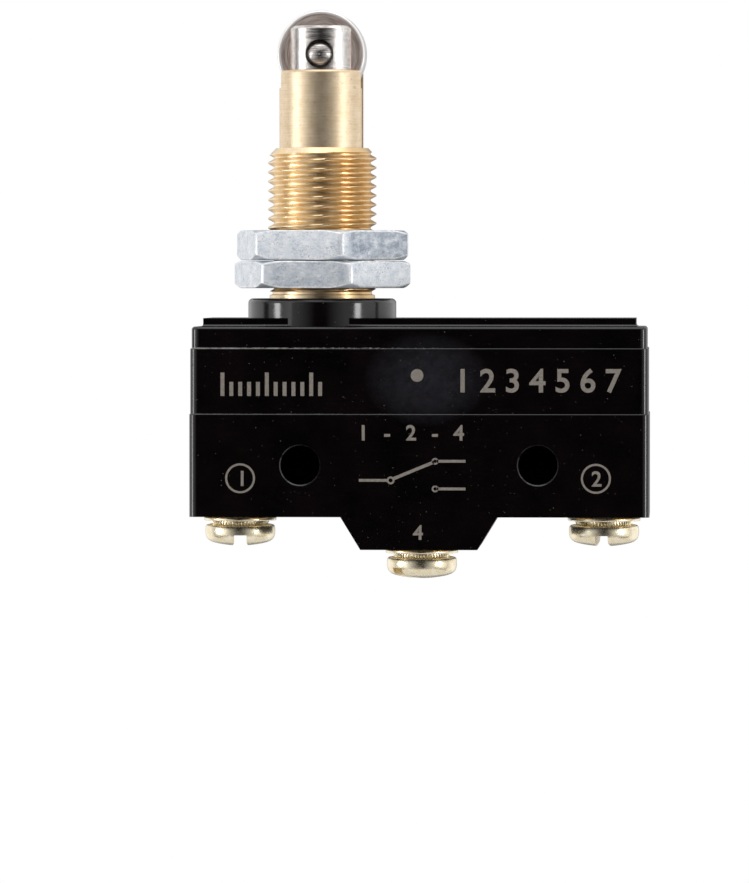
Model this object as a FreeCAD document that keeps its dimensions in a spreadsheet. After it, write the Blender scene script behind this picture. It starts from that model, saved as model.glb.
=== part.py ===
import FreeCAD, Part
import math
import os
import Sketcher

# Panel-mount roller plunger snap-action switch, in millimetres.
# X runs along the case, +Y to its back face, +Z up to the roller.
# The origin is midway between the two mounting holes, at half the depth of the case.

doc = FreeCAD.newDocument("roller_plunger_switch")

# Driving dimensions
DRIVING = [
    ("case_length", 49.2),
    ("case_depth", 17.45),
    ("base_upper_height", 5.48),
    ("base_lower_height", 5.55),
    ("seam_edge_radius", 0.12),
    ("corner_radius", 0.8),
    ("wedge_drop", 3.49),
    ("wedge_top_width", 16.76),
    ("wedge_bottom_width", 12.5),
    ("frame_height", 7.02),
    ("frame_setback", 0.1),
    ("cover_height", 2.3),
    ("cover_setback", 0.25),
    ("cover_edge_radius", 0.33),
    ("platform_end_setback", 1.45),
    ("platform_side_setback", 1.425),
    ("platform_height", 0.9),
    ("platform_foot_radius", 0.3),
    ("collar_wall", 2.1),
    ("collar_height", 2.1),
    ("collar_edge_radius", 0.5),
    ("hole_inset", 11.9),
    ("plunger_inset", 1.92),
    ("mounting_hole", 4.2),
    ("hole_edge_chamfer", 0.12),
    ("hole_wall", 1.8),
    ("side_wall", 1.8),
    ("end_wall", 1.7),
    ("floor_thickness", 2.95),
    ("roof_thickness", 2.2),
    ("lip_height", 0.8),
    ("lip_wall", 0.9),
    ("seat_clearance", 0.05),
    ("fit_clearance", 0.02),
    ("running_clearance", 0.05),
    ("thread_wall", 1.27),
    ("thread_engagement", 0.5),
    ("bushing_top", 34.0),
    ("bushing_chamfer", 0.9),
    ("bushing_flange_step", 0.8),
    ("bushing_flange_height", 1.6),
    ("bushing_lower_bore", 7.0),
    ("cover_web", 0.8),
    ("nut_wall", 2.6),
    ("nut_chamfer_setback", 0.3),
    ("nut_chamfer_angle", 30.0),
    ("lower_nut_gap", 1.1),
    ("lower_nut_height", 2.95),
    ("lower_nut_turn", 8.9),
    ("nut_spacing", 0.08),
    ("upper_nut_height", 3.2),
    ("upper_nut_turn", 15.0),
    ("sleeve_diameter", 9.26),
    ("sleeve_above_bushing", 8.4),
    ("sleeve_edge_radius", 0.35),
    ("sleeve_bore", 5.0),
    ("sleeve_web", 1.0),
    ("plunger_travel", 3.95),
    ("travel_reserve", 0.05),
    ("groove_depth", 0.45),
    ("key_height", 1.6),
    ("key_level", 7.0),
    ("key_cover", 0.6),
    ("head_turn", -2.0),
    ("fork_wall", 0.93),
    ("fork_above_sleeve", 4.75),
    ("fork_chamfer", 0.3),
    ("fork_seat_depth", 5.9),
    ("roller_overhang", 0.12),
    ("roller_width", 3.2),
    ("roller_edge_radius", 0.25),
    ("roller_above_sleeve", 1.7),
    ("roller_end_play", 0.1),
    ("roller_clearance", 0.15),
    ("roller_pin_diameter", 3.0),
    ("roller_pin_setback", 0.7),
    ("roller_pin_dome", 0.85),
    ("pin_diameter", 3.2),
    ("pin_tip_diameter", 2.4),
    ("pin_tip_height", 0.8),
    ("pin_flange_diameter", 6.0),
    ("pin_flange_height", 1.2),
    ("pin_rise", 3.7),
    ("pin_free_gap", 0.53),
    ("spring_seat_diameter", 4.6),
    ("spring_seat_height", 1.0),
    ("spring_spigot_diameter", 2.9),
    ("spring_spigot_height", 3.0),
    ("spring_wire", 0.55),
    ("spring_diameter", 4.6),
    ("spring_coils", 8.0),
    ("terminal_inset", 4.92),
    ("post_length", 5.6),
    ("post_width", 6.0),
    ("post_top", 0.6),
    ("terminal_thickness", 0.8),
    ("terminal_wall_gap", 0.15),
    ("plate_length", 6.2),
    ("plate_width", 7.4),
    ("plate_thickness", 0.3),
    ("washer_diameter", 7.85),
    ("washer_thickness", 0.35),
    ("washer_edge_radius", 0.12),
    ("lock_washer_diameter", 6.2),
    ("lock_washer_thickness", 0.4),
    ("lock_washer_split", 0.35),
    ("screw_diameter", 4.0),
    ("screw_length", 5.2),
    ("screw_head_diameter", 7.6),
    ("screw_head_foot", 7.2),
    ("screw_head_height", 1.85),
    ("screw_head_dome", 0.55),
    ("screw_head_top_radius", 0.3),
    ("screw_head_foot_radius", 0.5),
    ("screw_slot_width", 1.4),
    ("screw_slot_depth", 1.25),
    ("common_screw_turn", 4.0),
    ("open_screw_turn", -44.0),
    ("closed_screw_turn", -4.0),
    ("shelf_level", 7.0),
    ("shelf_reach", 4.1),
    ("blade_thickness", 0.25),
    ("blade_lift", 0.06),
    ("blade_width", 8.0),
    ("blade_leg_width", 1.4),
    ("blade_tail", 1.8),
    ("pivot_inset", 1.9),
    ("contact_inset", 6.0),
    ("blade_nose", 2.4),
    ("anchor_window_start", 2.0),
    ("bridge_width", 4.6),
    ("tongue_root", 6.0),
    ("tongue_tip", 4.5),
    ("tongue_width", 2.6),
    ("tongue_drop", 0.96),
    ("tongue_bow", 0.8),
    ("bracket_thickness", 0.7),
    ("notch_depth", 0.6),
    ("notch_height", 1.0),
    ("notch_wall", 0.6),
    ("anchor_screw_diameter", 2.0),
    ("anchor_head_diameter", 3.8),
    ("anchor_head_height", 1.2),
    ("contact_diameter", 3.6),
    ("contact_rivet_diameter", 1.8),
    ("moving_contact_height", 0.57),
    ("contact_gap", 0.56),
    ("fixed_contact_height", 0.8),
    ("contact_touch", 0.02),
]


class Size:
    """A length that knows its value and the sheet expression that it comes from."""

    def __init__(self, text, number):
        self.text = text
        self.number = number

    @staticmethod
    def of(other):
        if isinstance(other, Size):
            return other
        return Size(repr(float(other)), float(other))

    def __add__(self, other):
        other = Size.of(other)
        return Size("(%s + %s)" % (self.text, other.text), self.number + other.number)

    def __sub__(self, other):
        other = Size.of(other)
        return Size("(%s - %s)" % (self.text, other.text), self.number - other.number)

    def __mul__(self, other):
        other = Size.of(other)
        return Size("(%s * %s)" % (self.text, other.text), self.number * other.number)

    def __truediv__(self, other):
        other = Size.of(other)
        return Size("(%s / %s)" % (self.text, other.text), self.number / other.number)

    def __neg__(self):
        return Size("(0 - %s)" % self.text, -self.number)

    def root(self):
        return Size("sqrt(%s)" % self.text, math.sqrt(self.number))

    def tangent(self):
        """Tangent of a size that is an angle in degrees."""
        return Size("tan(%s * 1 deg)" % self.text, math.tan(math.radians(self.number)))


class Sizes:
    """The driving dimensions, read back from the sheet by their names."""


sheet = doc.addObject("Spreadsheet::Sheet", "Sizes")
s = Sizes()
for row, (alias, number) in enumerate(DRIVING, start=1):
    sheet.set("A%d" % row, alias.replace("_", " "))
    sheet.set("B%d" % row, str(number))
    sheet.setAlias("B%d" % row, alias)
doc.recompute()
for alias, number in DRIVING:
    setattr(s, alias, Size("<<Sizes>>.%s" % alias, float(sheet.get(alias))))

ZERO = Size("0", 0.0)
TOLERANCE = 1e-4

# Places along the case, from its ends inwards
hole_pitch = s.case_length - s.hole_inset * 2.0
plunger_offset = hole_pitch / 2.0 - s.plunger_inset
terminal_pitch = s.case_length / 2.0 - s.terminal_inset
platform_length = s.case_length - s.platform_end_setback * 2.0
platform_width = s.case_depth - s.platform_side_setback * 2.0

# Round sizes of the plunger head, the bushing round it and the nuts round that
roller_diameter = s.sleeve_diameter + s.roller_overhang * 2.0
fork_diameter = s.sleeve_diameter - s.fork_wall * 2.0
thread_diameter = s.sleeve_diameter + s.thread_wall * 2.0
pitch_diameter = thread_diameter - s.thread_engagement
bushing_flange_diameter = thread_diameter + s.bushing_flange_step * 2.0
collar_diameter = thread_diameter + s.collar_wall * 2.0
nut_across_flats = thread_diameter + s.nut_wall * 2.0
nut_chamfer_circle = nut_across_flats - s.nut_chamfer_setback * 2.0

# Levels of the case, from the mounting holes' centre line
base_top = s.base_upper_height
base_bottom = -s.base_lower_height
wedge_bottom = base_bottom - s.wedge_drop
floor_level = base_bottom + s.floor_thickness
cover_bottom = base_top + s.frame_height
cover_top = cover_bottom + s.cover_height
platform_top = cover_top + s.platform_height
collar_top = platform_top + s.collar_height
roof_level = platform_top - s.roof_thickness

# Openings of the three tiers, each lip standing inside the one below
base_opening_length = s.case_length - s.end_wall * 2.0
base_opening_width = s.case_depth - s.side_wall * 2.0
frame_lip_length = base_opening_length - s.seat_clearance * 2.0
frame_lip_width = base_opening_width - s.seat_clearance * 2.0
frame_opening_length = frame_lip_length - s.lip_wall * 2.0
frame_opening_width = frame_lip_width - s.lip_wall * 2.0
cover_lip_length = frame_opening_length - s.seat_clearance * 2.0
cover_lip_width = frame_opening_width - s.seat_clearance * 2.0
cover_opening_length = cover_lip_length - s.lip_wall * 2.0
cover_opening_width = cover_lip_width - s.lip_wall * 2.0
pillar_radius = s.mounting_hole / 2.0 + s.hole_wall

# Levels along the plunger
bushing_bottom = roof_level + s.cover_web
bushing_flange_top = bushing_bottom + s.bushing_flange_height
thread_radius = thread_diameter / 2.0
engaged_radius = pitch_diameter / 2.0
lower_nut_bottom = collar_top + s.lower_nut_gap
lower_nut_top = lower_nut_bottom + s.lower_nut_height
upper_nut_bottom = lower_nut_top + s.nut_spacing
upper_nut_top = upper_nut_bottom + s.upper_nut_height
sleeve_radius = s.sleeve_diameter / 2.0
sleeve_top = s.bushing_top + s.sleeve_above_bushing
guide_top = platform_top
plunger_stop = guide_top
sleeve_bottom = plunger_stop + s.plunger_travel + s.travel_reserve
fork_bottom = sleeve_top - s.fork_seat_depth
sleeve_bore_top = fork_bottom - s.sleeve_web
fork_top = sleeve_top + s.fork_above_sleeve
fork_radius = fork_diameter / 2.0
fork_bore_radius = fork_radius + s.fit_clearance
roller_level = sleeve_top + s.roller_above_sleeve
roller_radius = roller_diameter / 2.0
roller_slot_width = s.roller_width + s.roller_end_play * 2.0
swept_radius = roller_radius + s.roller_clearance
fork_slot_bottom = roller_level - swept_radius
slot_corner_reach = (fork_bore_radius * fork_bore_radius - roller_slot_width * roller_slot_width / 4.0).root()
sleeve_slot_bottom = roller_level - (swept_radius * swept_radius - slot_corner_reach * slot_corner_reach).root()
key_bottom = plunger_stop + s.key_level
key_width = roller_slot_width - s.running_clearance * 2.0
groove_floor = sleeve_radius - s.groove_depth
groove_bottom = key_bottom - s.fit_clearance

# Levels of the mechanism in the case
shelf_top = s.shelf_level + s.terminal_thickness
blade_bottom = shelf_top + s.blade_lift
blade_top = blade_bottom + s.blade_thickness
closed_face = blade_top + s.moving_contact_height + s.contact_touch
closed_arm_bottom = closed_face + s.fixed_contact_height
closed_arm_top = closed_arm_bottom + s.terminal_thickness
open_face = blade_bottom - s.moving_contact_height - s.contact_gap
open_arm_top = open_face - s.fixed_contact_height
open_arm_bottom = open_arm_top - s.terminal_thickness
strip_outer = frame_opening_length / 2.0 - s.terminal_wall_gap
strip_inner = strip_outer - s.terminal_thickness
pivot_position = -(strip_inner - s.pivot_inset)
contact_position = strip_inner - s.contact_inset
contact_end = contact_position + s.contact_diameter / 2.0 + s.terminal_thickness
pin_tip = blade_top + s.pin_free_gap
pin_flange_top = roof_level - s.seat_clearance * 2.0
pin_flange_bottom = pin_flange_top - s.pin_flange_height
pin_top = guide_top + s.pin_rise
seat_top = pin_top + s.spring_seat_height


def set_size(target, path, size):
    """Binds one property of an object to the sheet."""
    target.setExpression(path, size.text)


def new_body(label, x=ZERO, turn=None):
    """A body whose own origin stands at x along the case, turned about the vertical."""
    body = doc.addObject("PartDesign::Body", label)
    body.Label = label
    if turn is not None:
        body.Placement = FreeCAD.Placement(
            FreeCAD.Vector(x.number, 0, 0), FreeCAD.Rotation(FreeCAD.Vector(0, 0, 1), turn.number)
        )
        set_size(body, "Placement.Rotation.Angle", turn)
    set_size(body, "Placement.Base.x", x)
    return body


def new_sketch(body, role, lift=ZERO):
    """A sketch on one of the body's own origin planes, lifted along its normal."""
    sketch = body.newObject("Sketcher::SketchObject", body.Label + "_sketch")
    planes = [feature for feature in body.Origin.OriginFeatures if feature.Role == role]
    sketch.AttachmentSupport = [(planes[0], "")]
    sketch.MapMode = "FlatFace"
    sketch.AttachmentOffset = FreeCAD.Placement(FreeCAD.Vector(0, 0, lift.number), FreeCAD.Rotation())
    set_size(sketch, "AttachmentOffset.Base.z", lift)
    return sketch


def constrain(sketch, kind, place, size):
    """Adds one dimension to a sketch and binds it to the sheet."""
    index = sketch.addConstraint(Sketcher.Constraint(kind, *place, size.number))
    set_size(sketch, "Constraints[%d]" % index, size)


def fix_point(sketch, geometry, end, point):
    constrain(sketch, "DistanceX", (geometry, end), point[0])
    constrain(sketch, "DistanceY", (geometry, end), point[1])


def add_circle(sketch, radius, x=ZERO, y=ZERO):
    circle = Part.Circle(FreeCAD.Vector(x.number, y.number, 0), FreeCAD.Vector(0, 0, 1), radius.number)
    index = sketch.addGeometry(circle, False)
    constrain(sketch, "Radius", (index,), radius)
    fix_point(sketch, index, 3, (x, y))


def arc_between(start, end, rise):
    """The arc over a chord, and its radius; rise is to the left of the way from start to end."""
    chord_x = end[0] - start[0]
    chord_y = end[1] - start[1]
    length = math.hypot(chord_x.number, chord_y.number)
    middle = FreeCAD.Vector(
        (start[0].number + end[0].number) / 2 - chord_y.number / length * rise.number,
        (start[1].number + end[1].number) / 2 + chord_x.number / length * rise.number,
        0,
    )
    square = chord_x * chord_x + chord_y * chord_y
    radius = (square / 4.0 + rise * rise) / (rise * 2.0)
    if rise.number < 0:
        radius = -radius
    return middle, radius


def dome_rise(radius, height):
    """How far the arc from a dome's crown to its rim stands off its chord."""
    square = radius * radius + height * height
    sphere = square / (height * 2.0)
    return sphere - (sphere * sphere - square / 4.0).root()


def add_profile(sketch, corners):
    """A closed outline; a corner with a third value starts an arc that rises that far."""
    ends = []
    for number, corner in enumerate(corners):
        following = corners[(number + 1) % len(corners)]
        start = FreeCAD.Vector(corner[0].number, corner[1].number, 0)
        end = FreeCAD.Vector(following[0].number, following[1].number, 0)
        if len(corner) == 3:
            middle, radius = arc_between(corner, following, corner[2])
            index = sketch.addGeometry(Part.Arc(start, middle, end), False)
            forward = sketch.getPoint(index, 1).distanceToPoint(start) < sketch.getPoint(index, 2).distanceToPoint(start)
            ends.append((index, 1, 2) if forward else (index, 2, 1))
            constrain(sketch, "Radius", (index,), radius)
        else:
            index = sketch.addGeometry(Part.LineSegment(start, end), False)
            ends.append((index, 1, 2))
    for number, (index, first, last) in enumerate(ends):
        following = ends[(number + 1) % len(ends)]
        sketch.addConstraint(Sketcher.Constraint("Coincident", index, last, following[0], following[1]))
        fix_point(sketch, index, first, corners[number])


def add_rectangle(sketch, left, right, low, high):
    add_profile(sketch, [(left, low), (right, low), (right, high), (left, high)])


def add_block(sketch, length, width, x=ZERO, y=ZERO):
    """A rectangle about a centre."""
    add_rectangle(sketch, x - length / 2.0, x + length / 2.0, y - width / 2.0, y + width / 2.0)


def pad(body, sketch, length, symmetric=False):
    feature = body.newObject("PartDesign::Pad", body.Label + "_pad")
    feature.Profile = sketch
    feature.Length = length.number
    if symmetric:
        feature.SideType = "Symmetric"
    set_size(feature, "Length", length)
    body.Tip = feature
    return feature


def pocket(body, sketch, length, symmetric=False, reverse=False):
    before = solid_volume(body)
    feature = body.newObject("PartDesign::Pocket", body.Label + "_pocket")
    feature.Profile = sketch
    feature.Length = length.number
    if symmetric:
        feature.SideType = "Symmetric"
    feature.Reversed = reverse
    set_size(feature, "Length", length)
    check_cut(body, feature, before)
    return feature


def turned(body, sketch):
    """A full turn of the sketch about its own upright axis."""
    feature = body.newObject("PartDesign::Revolution", body.Label + "_turned")
    feature.Profile = sketch
    feature.ReferenceAxis = (sketch, ["V_Axis"])
    feature.Angle = 360.0
    body.Tip = feature
    return feature


def turned_cut(body, sketch):
    """A cut all round, swept by the sketch about its own upright axis."""
    before = solid_volume(body)
    feature = body.newObject("PartDesign::Groove", body.Label + "_groove")
    feature.Profile = sketch
    feature.ReferenceAxis = (sketch, ["V_Axis"])
    feature.Angle = 360.0
    check_cut(body, feature, before)
    return feature


def solid_volume(body):
    doc.recompute()
    if body.Tip.Shape.isNull():
        raise ValueError("%s failed at %s: %s" % (body.Label, body.Tip.Label, body.Tip.getStatusString()))
    return body.Tip.Shape.Volume


def check_cut(body, feature, before):
    """A cut that points away from the solid takes nothing off; that must not pass unseen."""
    body.Tip = feature
    doc.recompute()
    if feature.Shape.Volume >= before:
        raise ValueError("nothing was cut from " + body.Label)


def dress(body, kind, size, wanted):
    """A fillet or chamfer on the edges of the tip that wanted() picks."""
    doc.recompute()
    tip = body.Tip
    names = ["Edge%d" % (n + 1) for n, edge in enumerate(tip.Shape.Edges) if wanted(edge)]
    if not names:
        raise ValueError("no edge to dress on " + body.Label)
    feature = body.newObject("PartDesign::" + kind, body.Label + "_" + kind.lower())
    feature.Base = (tip, names)
    set_size(feature, "Radius" if kind == "Fillet" else "Size", size)
    body.Tip = feature
    return feature


def near(first, second):
    return abs(first - second) < TOLERANCE


def is_upright(edge):
    box = edge.BoundBox
    return box.XLength < TOLERANCE and box.YLength < TOLERANCE


def at_level(edge, level):
    return near(edge.BoundBox.ZMin, level.number) and near(edge.BoundBox.ZMax, level.number)


def corner_of(edge, length, width):
    """Tells whether an upright edge stands at a corner of a length by width block."""
    box = edge.BoundBox
    if not is_upright(edge):
        return False
    return near(abs(box.XMin), length.number / 2) and near(abs(box.YMin), width.number / 2)


parts = []


# Case base: lower tier with the wedge under its middle and the two mounting holes
def make_case_base():
    body = new_body("case_base")
    half = s.case_length / 2.0
    outline = new_sketch(body, "XZ_Plane")
    add_profile(
        outline,
        [
            (-half, base_bottom),
            (-s.wedge_top_width / 2.0, base_bottom),
            (-s.wedge_bottom_width / 2.0, wedge_bottom),
            (s.wedge_bottom_width / 2.0, wedge_bottom),
            (s.wedge_top_width / 2.0, base_bottom),
            (half, base_bottom),
            (half, base_top),
            (-half, base_top),
        ],
    )
    pad(body, outline, s.case_depth, symmetric=True)
    dress(body, "Fillet", s.corner_radius, lambda edge: corner_of(edge, s.case_length, s.case_depth))
    dress(body, "Fillet", s.seam_edge_radius, lambda edge: at_level(edge, base_top))
    cavity = new_sketch(body, "XY_Plane", base_top)
    add_block(cavity, base_opening_length, base_opening_width)
    pocket(body, cavity, base_top - floor_level)
    feet = new_sketch(body, "XZ_Plane")
    heads = new_sketch(body, "XZ_Plane")
    for side in (-1.0, 1.0):
        centre = hole_pitch / 2.0 * side
        add_rectangle(feet, centre - pillar_radius, centre + pillar_radius, floor_level, ZERO)
        add_circle(heads, pillar_radius, centre)
    pad(body, feet, base_opening_width, symmetric=True)
    pad(body, heads, base_opening_width, symmetric=True)
    holes = new_sketch(body, "XZ_Plane")
    for side in (-1.0, 1.0):
        add_circle(holes, s.mounting_hole / 2.0, hole_pitch / 2.0 * side)
    pocket(body, holes, s.case_depth * 2.0, symmetric=True)

    def at_hole_rim(edge):
        box = edge.BoundBox
        face = s.case_depth.number / 2
        on_face = near(abs(box.YMin), face) and near(abs(box.YMax), face)
        return on_face and near(box.XLength, s.mounting_hole.number)

    dress(body, "Chamfer", s.hole_edge_chamfer, at_hole_rim)
    passages = new_sketch(body, "XY_Plane", floor_level)
    for side in (-1.0, 0.0, 1.0):
        add_block(
            passages,
            s.post_length + s.fit_clearance * 2.0,
            s.post_width + s.fit_clearance * 2.0,
            terminal_pitch * side,
        )
    pocket(body, passages, s.floor_thickness + s.wedge_drop + s.wedge_drop)
    return body


# Case frame: middle tier, open right through, with a lip that stands in the base
def make_case_frame():
    body = new_body("case_frame")
    length = s.case_length - s.frame_setback * 2.0
    width = s.case_depth - s.frame_setback * 2.0
    outline = new_sketch(body, "XY_Plane", base_top)
    add_block(outline, length, width)
    pad(body, outline, s.frame_height)
    dress(body, "Fillet", s.corner_radius, lambda edge: corner_of(edge, length, width))
    dress(body, "Fillet", s.seam_edge_radius, lambda edge: at_level(edge, cover_bottom))
    lip = new_sketch(body, "XY_Plane", base_top - s.lip_height)
    add_block(lip, frame_lip_length, frame_lip_width)
    pad(body, lip, s.lip_height)
    opening = new_sketch(body, "XY_Plane", cover_bottom)
    add_block(opening, frame_opening_length, frame_opening_width)
    pocket(body, opening, s.frame_height + s.lip_height)
    return body


# Top cover: thin tier, raised platform and the round collar that holds the bushing
def make_top_cover():
    body = new_body("top_cover")
    length = s.case_length - s.cover_setback * 2.0
    width = s.case_depth - s.cover_setback * 2.0
    outline = new_sketch(body, "XY_Plane", cover_bottom)
    add_block(outline, length, width)
    pad(body, outline, s.cover_height)
    dress(body, "Fillet", s.corner_radius, lambda edge: corner_of(edge, length, width))
    dress(body, "Fillet", s.cover_edge_radius, lambda edge: at_level(edge, cover_top))
    platform = new_sketch(body, "XY_Plane", cover_top)
    add_block(platform, platform_length, platform_width)
    pad(body, platform, s.platform_height)

    def at_foot(edge):
        box = edge.BoundBox
        inside = box.XMax < platform_length.number / 2 + TOLERANCE and box.YMax < platform_width.number / 2 + TOLERANCE
        return at_level(edge, cover_top) and inside

    dress(body, "Fillet", s.platform_foot_radius, at_foot)
    collar = new_sketch(body, "XY_Plane", cover_top)
    add_circle(collar, collar_diameter / 2.0, -plunger_offset)
    pad(body, collar, s.platform_height + s.collar_height)
    dress(body, "Fillet", s.collar_edge_radius, lambda edge: at_level(edge, collar_top))
    lip = new_sketch(body, "XY_Plane", cover_bottom - s.lip_height)
    add_block(lip, cover_lip_length, cover_lip_width)
    pad(body, lip, s.lip_height)
    recess = new_sketch(body, "XY_Plane", roof_level)
    add_block(recess, cover_opening_length, cover_opening_width)
    pocket(body, recess, roof_level - cover_bottom + s.lip_height)
    return body


# Seat in the cover for the bushing: a plug of the bushing's own outline, left with a guide tube
def make_bushing_seat():
    tube = s.bushing_lower_bore / 2.0 - s.fit_clearance
    flange = bushing_flange_diameter / 2.0 + s.fit_clearance
    neck = thread_radius + s.fit_clearance
    body = new_body("bushing_seat", -plunger_offset, ZERO)
    outline = new_sketch(body, "XZ_Plane")
    above = collar_top + s.collar_height
    bore = s.pin_diameter / 2.0 + s.running_clearance
    add_profile(
        outline,
        [
            (ZERO, roof_level - s.lip_height),
            (bore, roof_level - s.lip_height),
            (bore, guide_top),
            (tube, guide_top),
            (tube, bushing_bottom - s.fit_clearance),
            (flange, bushing_bottom - s.fit_clearance),
            (flange, bushing_flange_top + s.fit_clearance),
            (neck, bushing_flange_top + s.fit_clearance),
            (neck, above),
            (ZERO, above),
        ],
    )
    turned(body, outline)
    return body


def make_cover_with_seat():
    cut = doc.addObject("Part::Cut", "cover_cut")
    cut.Base = make_top_cover()
    cut.Tool = make_bushing_seat()
    cut.Base.Label = "cover_blank"
    cut.Label = "top_cover"
    return cut


# Panel bushing: the threads of an engaged nut and bushing share a space, so there the two
# solids meet at the pitch diameter; elsewhere the bushing has the thread's full diameter
def make_bushing():
    body = new_body("panel_bushing", -plunger_offset, s.head_turn)
    outline = new_sketch(body, "XZ_Plane")
    bore = sleeve_radius + s.running_clearance
    low = s.bushing_lower_bore / 2.0
    add_profile(
        outline,
        [
            (low, bushing_bottom),
            (bushing_flange_diameter / 2.0, bushing_bottom),
            (bushing_flange_diameter / 2.0, bushing_flange_top),
            (thread_radius, bushing_flange_top),
            (thread_radius, lower_nut_bottom - s.seat_clearance),
            (engaged_radius, lower_nut_bottom - s.seat_clearance),
            (engaged_radius, upper_nut_top + s.seat_clearance),
            (thread_radius, upper_nut_top + s.seat_clearance),
            (thread_radius, s.bushing_top - s.bushing_chamfer),
            (thread_radius - s.bushing_chamfer, s.bushing_top),
            (bore, s.bushing_top),
            (bore, plunger_stop),
            (low, plunger_stop),
        ],
    )
    turned(body, outline)
    slot = new_sketch(body, "YZ_Plane")
    add_rectangle(
        slot,
        -(key_width / 2.0 + s.fit_clearance),
        key_width / 2.0 + s.fit_clearance,
        key_bottom - s.fit_clearance,
        key_bottom + s.key_height + s.fit_clearance,
    )
    pocket(body, slot, thread_radius, reverse=True)
    return body


# Guide key: set in the bushing wall, it runs in the plunger's groove and stops it at rest
def make_guide_key():
    inner = groove_floor + s.running_clearance * 2.0
    outer = thread_radius - s.key_cover
    key = doc.addObject("Part::Box", "guide_key")
    key.Label = "guide_key"
    set_size(key, "Length", outer - inner)
    set_size(key, "Width", key_width)
    set_size(key, "Height", s.key_height)
    turn = FreeCAD.Rotation(FreeCAD.Vector(0, 0, 1), s.head_turn.number)
    corner = turn.multVec(FreeCAD.Vector(inner.number, -key_width.number / 2, key_bottom.number))
    key.Placement = FreeCAD.Placement(corner - FreeCAD.Vector(plunger_offset.number, 0, 0), turn)
    return key


def make_nut(label, level, height, turn):
    body = new_body(label, -plunger_offset, -turn)
    outline = new_sketch(body, "XY_Plane", level)
    half = nut_across_flats / 2.0
    reach = nut_across_flats / math.sqrt(3.0)
    add_profile(
        outline,
        [
            (reach, ZERO),
            (reach / 2.0, half),
            (-reach / 2.0, half),
            (-reach, ZERO),
            (-reach / 2.0, -half),
            (reach / 2.0, -half),
        ],
    )
    add_circle(outline, engaged_radius + s.running_clearance)
    pad(body, outline, height)
    flat = nut_chamfer_circle / 2.0
    rim = reach + s.seat_clearance
    slope = (rim - flat) * s.nut_chamfer_angle.tangent()
    bevels = new_sketch(body, "XZ_Plane")
    add_profile(bevels, [(flat, level), (rim, level), (rim, level + slope)])
    add_profile(bevels, [(flat, level + height), (rim, level + height - slope), (rim, level + height)])
    turned_cut(body, bevels)
    return body


# Plunger sleeve: slotted at both sides for the roller, grooved at one side for the key
def make_sleeve():
    body = new_body("plunger_sleeve", -plunger_offset, s.head_turn)
    outline = new_sketch(body, "XZ_Plane")
    bore = s.sleeve_bore / 2.0
    add_profile(
        outline,
        [
            (bore, sleeve_bottom),
            (sleeve_radius, sleeve_bottom),
            (sleeve_radius, sleeve_top),
            (fork_bore_radius, sleeve_top),
            (fork_bore_radius, fork_bottom),
            (ZERO, fork_bottom),
            (ZERO, sleeve_bore_top),
            (bore, sleeve_bore_top),
        ],
    )
    turned(body, outline)
    dress(
        body,
        "Fillet",
        s.sleeve_edge_radius,
        lambda edge: at_level(edge, sleeve_top) and near(edge.BoundBox.XMax, sleeve_radius.number),
    )
    dress(
        body,
        "Chamfer",
        s.sleeve_edge_radius,
        lambda edge: at_level(edge, sleeve_bottom) and near(edge.BoundBox.XMax, sleeve_radius.number),
    )
    roller_slot = new_sketch(body, "YZ_Plane")
    half = roller_slot_width / 2.0
    add_rectangle(roller_slot, -half, half, sleeve_slot_bottom, sleeve_top + s.roller_clearance)
    pocket(body, roller_slot, s.sleeve_diameter * 2.0, symmetric=True)
    groove = new_sketch(body, "XZ_Plane")
    groove_side = sleeve_radius + s.groove_depth
    groove_top = sleeve_slot_bottom + s.groove_depth
    add_rectangle(groove, groove_floor, groove_side, groove_bottom, groove_top)
    pocket(body, groove, roller_slot_width, symmetric=True)
    return body


# Roller fork: a turned insert, slotted to two ears that carry the pin
def make_fork():
    body = new_body("roller_fork", -plunger_offset, s.head_turn)
    outline = new_sketch(body, "XZ_Plane")
    add_profile(
        outline,
        [
            (ZERO, fork_bottom + s.fit_clearance),
            (fork_radius, fork_bottom + s.fit_clearance),
            (fork_radius, fork_top - s.fork_chamfer),
            (fork_radius - s.fork_chamfer, fork_top),
            (ZERO, fork_top),
        ],
    )
    turned(body, outline)
    slot = new_sketch(body, "YZ_Plane")
    half = roller_slot_width / 2.0
    add_rectangle(slot, -half, half, fork_slot_bottom, fork_top + s.roller_clearance)
    pocket(body, slot, fork_diameter * 2.0, symmetric=True)
    eyes = new_sketch(body, "XZ_Plane")
    add_circle(eyes, s.roller_pin_diameter / 2.0 + s.fit_clearance, ZERO, roller_level)
    pocket(body, eyes, fork_diameter * 2.0, symmetric=True)
    return body


def make_roller():
    body = new_body("roller", -plunger_offset, s.head_turn)
    outline = new_sketch(body, "XY_Plane", roller_level)
    bore = s.roller_pin_diameter / 2.0 + s.running_clearance
    add_rectangle(outline, bore, roller_radius, -s.roller_width / 2.0, s.roller_width / 2.0)
    turned(body, outline)
    dress(
        body,
        "Fillet",
        s.roller_edge_radius,
        lambda edge: near(edge.BoundBox.XLength, roller_diameter.number),
    )
    return body


def make_roller_pin():
    body = new_body("roller_pin", -plunger_offset, s.head_turn)
    outline = new_sketch(body, "XY_Plane", roller_level)
    radius = s.roller_pin_diameter / 2.0
    reach = fork_radius - s.roller_pin_setback
    tip = reach + s.roller_pin_dome
    rise = dome_rise(radius, s.roller_pin_dome)
    add_profile(
        outline,
        [
            (ZERO, -tip, -rise),
            (radius, -reach),
            (radius, reach, -rise),
            (ZERO, tip),
        ],
    )
    turned(body, outline)
    return body


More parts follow.
